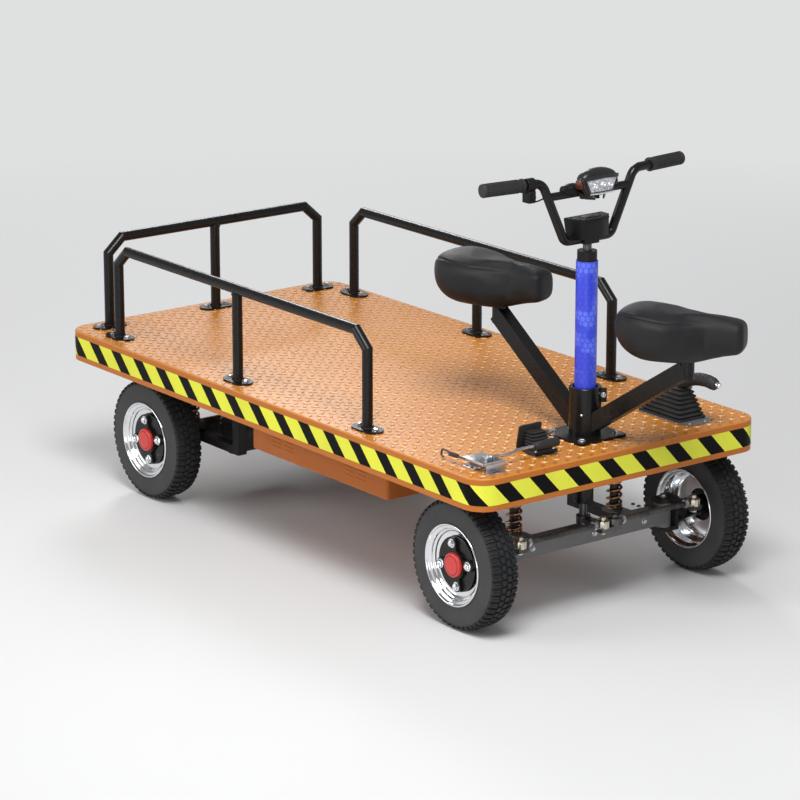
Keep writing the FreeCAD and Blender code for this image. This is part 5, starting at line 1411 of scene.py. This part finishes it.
_, beam_high, beam_middle = box_of("front_axle")
axle_parts = [placed(hex_bolt(0.0085, 0.006), at=(COLUMN[0] + 0.025, y, beam_middle[2] + 0.002),
                     **TO_FRONT) for y in (-0.2, 0.02, 0.2)]
for side in (-1, 1):
    axle_parts.append(placed(hex_bolt(0.012, 0.01),
                             at=(COLUMN[0], side * 0.29, beam_high[2] + 0.013)))
    axle_parts.append(scattered(hex_bolt(0.0065), [
        (COLUMN[0] - 0.05 + x, side * 0.235, beam_middle[2] + 0.022) for x in (-0.012, 0.012)]))
piece("axle_bolts", "chassis", zinc, joined(*axle_parts), sharp=30)

# %% Motor, rear axle and battery box
motor_low, motor_high, motor_middle = box_of("drive_motor")
MOTOR_LENGTH = motor_high[1] - motor_low[1]
motor_radius = (motor_high[2] - motor_low[2]) / 2
motor_profile = [(0.012, -0.004), (0.03, -0.004), (0.032, 0.0), (motor_radius * 0.93, 0.0),
                 (motor_radius, 0.004), (motor_radius, 0.022), (motor_radius * 0.97, 0.0235),
                 (motor_radius * 0.97, 0.028), (motor_radius * 0.985, 0.0295),
                 (motor_radius * 0.985, MOTOR_LENGTH - 0.03), (motor_radius, MOTOR_LENGTH - 0.028),
                 (motor_radius, MOTOR_LENGTH - 0.002), (motor_radius * 0.4, MOTOR_LENGTH)]


def on_motor(shape):
    """A shape laid along the motor: its z axis points left from the motor's right end."""
    return placed(shape, at=(motor_middle[0], motor_low[1], motor_middle[2]), **TO_LEFT)


FIN_INSET, FIN_COUNT, FIN_ROOT = 0.045, 10, motor_radius * 0.97
fins = [on_motor(lathe([(FIN_ROOT, s - 0.0012), (motor_radius, s - 0.0008),
                        (motor_radius, s + 0.0008), (FIN_ROOT, s + 0.0012)], 40))
        for s in np.linspace(FIN_INSET, MOTOR_LENGTH - FIN_INSET, FIN_COUNT)]
motor_bolts = on_motor(spun(placed(hex_bolt(0.005), at=(0, 0.049, -0.0005), **DOWN), 6))
terminal = box((motor_middle[0] - 0.03, motor_low[1] + 0.05, motor_high[2] - 0.006),
               (motor_middle[0] + 0.03, motor_low[1] + 0.13, motor_high[2] + 0.016), 0.003)
motor_paint = painted("motor_paint", (0.022, 0.022, 0.023), 0.42, (0.014, 0.013, 0.013), coat=0.1,
                      dust=0.2)
motor = piece("finned_motor", "chassis", motor_paint,
              joined(on_motor(lathe(motor_profile, 56)), *fins, terminal), sharp=35)
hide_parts("drive_motor")
ring = on_motor(lathe([(motor_radius * 0.55, -0.0015), (motor_radius * 0.9, -0.0015),
                       (motor_radius * 0.93, 0.0005), (motor_radius * 0.55, 0.0005)], 48,
                      ring=True))
piece("motor_end", "chassis", zinc, joined(ring, motor_bolts), sharp=30)
battery_low, battery_high, battery_middle = box_of("battery_box")
length, width = (battery_high - battery_low)[:2]
tall = battery_high[2] - battery_low[2]
tray_shape = placed(plate(rounded_outline(length, width, 0.012, 5), tall, 0.004, 4),
                    at=(*battery_middle[:2], battery_low[2]))
LIP_OUT = 0.008
lip_plan = rounded_outline(length + LIP_OUT, width + LIP_OUT, 0.016, 5) + battery_middle[:2]
lip_path = np.column_stack([lip_plan, np.full(len(lip_plan), battery_high[2] - 0.003)])
lip = tube(lip_path, rounded_outline(0.008, 0.005, 0.001, 1), closed=True)
vent = plate(rounded_outline(0.044, 0.0055, 0.0026, 4), 0.0016, 0.0008)
vents = scattered(placed(vent, **TO_RIGHT),
                  [(battery_middle[0] + x, battery_low[1] + 0.0006, battery_low[2] + z)
                   for x in (-0.2, -0.14, 0.14, 0.2) for z in (0.03, 0.042, 0.054, 0.066)])
battery = piece("battery_tray", "chassis", box_paint, joined(tray_shape, lip, vents),
                sharp=30)
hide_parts("battery_box")
BOLT_LEVEL, BOLT_GAP = battery_high[2] - 0.016, 0.0002
tray_bolts = [placed(hex_bolt(0.0075), at=spot, **facing) for facing, spots in (
    (TO_RIGHT, [(battery_middle[0] + x, battery_low[1] - BOLT_GAP, BOLT_LEVEL)
                for x in (-0.29, -0.1, 0.1, 0.29)]),
    (TO_FRONT, [(battery_high[0] + BOLT_GAP, battery_middle[1] + y, BOLT_LEVEL)
                for y in (-0.15, 0, 0.15)])) for spot in spots]
piece("tray_bolts", "chassis", zinc, joined(*tray_bolts), sharp=30)
AXLE = wheel_middle("rear_left") * (1, 0, 1)
case_bolts = placed(spun(placed(hex_bolt(0.0065), at=(0, 0.058, 0.0)), 8),
                    at=AXLE + (0, -0.0602, 0), **TO_RIGHT)
drum_bolts = [placed(spun(placed(hex_bolt(0.006), at=(0, 0.068, 0)), 6, first=0.3),
                     at=AXLE + (0, side * 0.3298, 0), x=(1, 0, 0), y=(0, 0, side))
              for side in (-1, 1)]
piece("axle_case_bolts", "chassis", zinc, joined(case_bolts, *drum_bolts),
      sharp=30)

# %% [markdown]
# ## Guard rails
# Each post stands on an oval foot with a chromed bolt and washer at each end, and a weld bead round
# it. The middle post meets the top tube in another bead.

# %% Rail feet
POST_INSET, BOLT_REACH = 0.055, 0.036
foot_bolts, beads = [], []
for name in ("side_rail_left", "side_rail_right", "rear_rail"):
    low, high, middle = box_of(name)
    along = 0 if high[0] - low[0] > high[1] - low[1] else 1
    for place in np.linspace(low[along] + POST_INSET, high[along] - POST_INSET, 3):
        post = np.array([*middle[:2], low[2] + 0.006])
        post[along] = place
        for offset in (-BOLT_REACH, BOLT_REACH):
            foot_bolts.append(placed(hex_bolt(0.0112), at=post + offset * np.eye(3)[along]))
        beads.append(placed(weld_ring(0.0156, 0.0024), at=post + (0, 0, 0.0008)))
    beads.append(placed(weld_ring(0.0152, 0.002), at=(*middle[:2], high[2] - 0.03)))
print(len(foot_bolts), "bolts,", len(beads), "beads")
piece("foot_bolts", "chassis", chrome, joined(*foot_bolts), sharp=30)
piece("rail_welds", "chassis", black_paint, joined(*beads), sharp=60)

# %% [markdown]
# ## Floor, light and camera
# The floor is a wide pale disc whose rim bends up into a low wall all round. Away from the trolley
# it turns to an even glow for the camera and for reflections, so no horizon shows; diffuse light
# still meets the plain floor. A soft key light hangs high in front on the right, with a broad fill
# on the right, one lamp behind on the left, a low one in front and a dim sky.

# %% Floor
FLOOR_REACH, WALL_BEND, WALL_TOP = 13.0, 1.6, 3.2
bend = np.linspace(0, np.pi / 2, 9)
studio = [(0.0, 0.0), *np.stack([FLOOR_REACH + WALL_BEND * np.sin(bend),
                                  WALL_BEND * (1 - np.cos(bend))], axis=1),
          (FLOOR_REACH + WALL_BEND, WALL_TOP)]
floor_mesh = as_mesh("floor", lathe(studio, 96, close=False))
shade_smooth(floor_mesh)
floor = linked("floor", floor_mesh)
pale_floor = Finish("pale_floor", (0.74, 0.74, 0.74), 0.6)
floor_mesh.materials.append(pale_floor.material)
glow = pale_floor.add("Emission", {"Color": (0.74, 0.745, 0.75, 1), "Strength": 1.0})
rays = pale_floor.add("LightPath").socket.node.outputs
seen = sum((Value(pale_floor, rays[name]) for name in ("Is Glossy Ray", "Is Transmission Ray")),
           Value(pale_floor, rays["Is Camera Ray"]))
east, north, _ = pale_floor.axes()
away = (east * east + north * north) ** 0.5
both = pale_floor.add("MixShader", {0: seen * away.ramp(1.4, 5.5),
                                    1: Value(pale_floor, pale_floor.shader.outputs[0]), 2: glow})
pale_floor.feed(pale_floor.tree.nodes["Material Output"].inputs["Surface"], both)

# %% Sky and lamps
world = bpy.data.worlds.new("studio")
bpy.context.scene.world = world
world.use_nodes = True
sky = world.node_tree.nodes["Background"]
sky.inputs["Color"].default_value = (0.86, 0.87, 0.9, 1)
sky.inputs["Strength"].default_value = 0.36


def lamp(name, at, target, size, power, colour=(1, 1, 1)):
    """A square soft light that faces a target."""
    light = bpy.data.lights.new(name, "AREA")
    light.size, light.energy, light.color = size, power, colour
    item = linked(name, light)
    item.location = at
    item.rotation_euler = (Vector(target) - Vector(at)).to_track_quat("-Z", "Y").to_euler()


MIDDLE = tuple((cad_box[0] + cad_box[1]) / 2)
lamp("key", (2.4, -1.8, 4.8), MIDDLE, 2.2, 235)
lamp("fill", (-2.2, -5.2, 2.8), MIDDLE, 3.4, 110)
lamp("back", (-4.9, 2.7, 3.5), MIDDLE, 1.5, 80)
lamp("low", (4.6, -4.2, 0.8), MIDDLE, 1.4, 45)

# %% Camera
CAMERA_AZIMUTH, CAMERA_RISE, CAMERA_DISTANCE = math.radians(52.56), math.radians(15.88), 10.203
AIM = Vector((-0.089, -0.055, 0.4))
back = Vector((math.sin(CAMERA_AZIMUTH) * math.cos(CAMERA_RISE),
               -math.cos(CAMERA_AZIMUTH) * math.cos(CAMERA_RISE), math.sin(CAMERA_RISE)))
camera = linked("camera", bpy.data.cameras.new("camera"))
camera.data.lens, camera.data.sensor_width = 159.5, 36.0
camera.location = AIM + back * CAMERA_DISTANCE
camera.rotation_euler = (-back).to_track_quat("-Z", "Y").to_euler()
bpy.context.scene.camera = camera
bpy.context.scene.view_settings.view_transform = "Standard"

# %% The last line
bpy.context.view_layer.update()
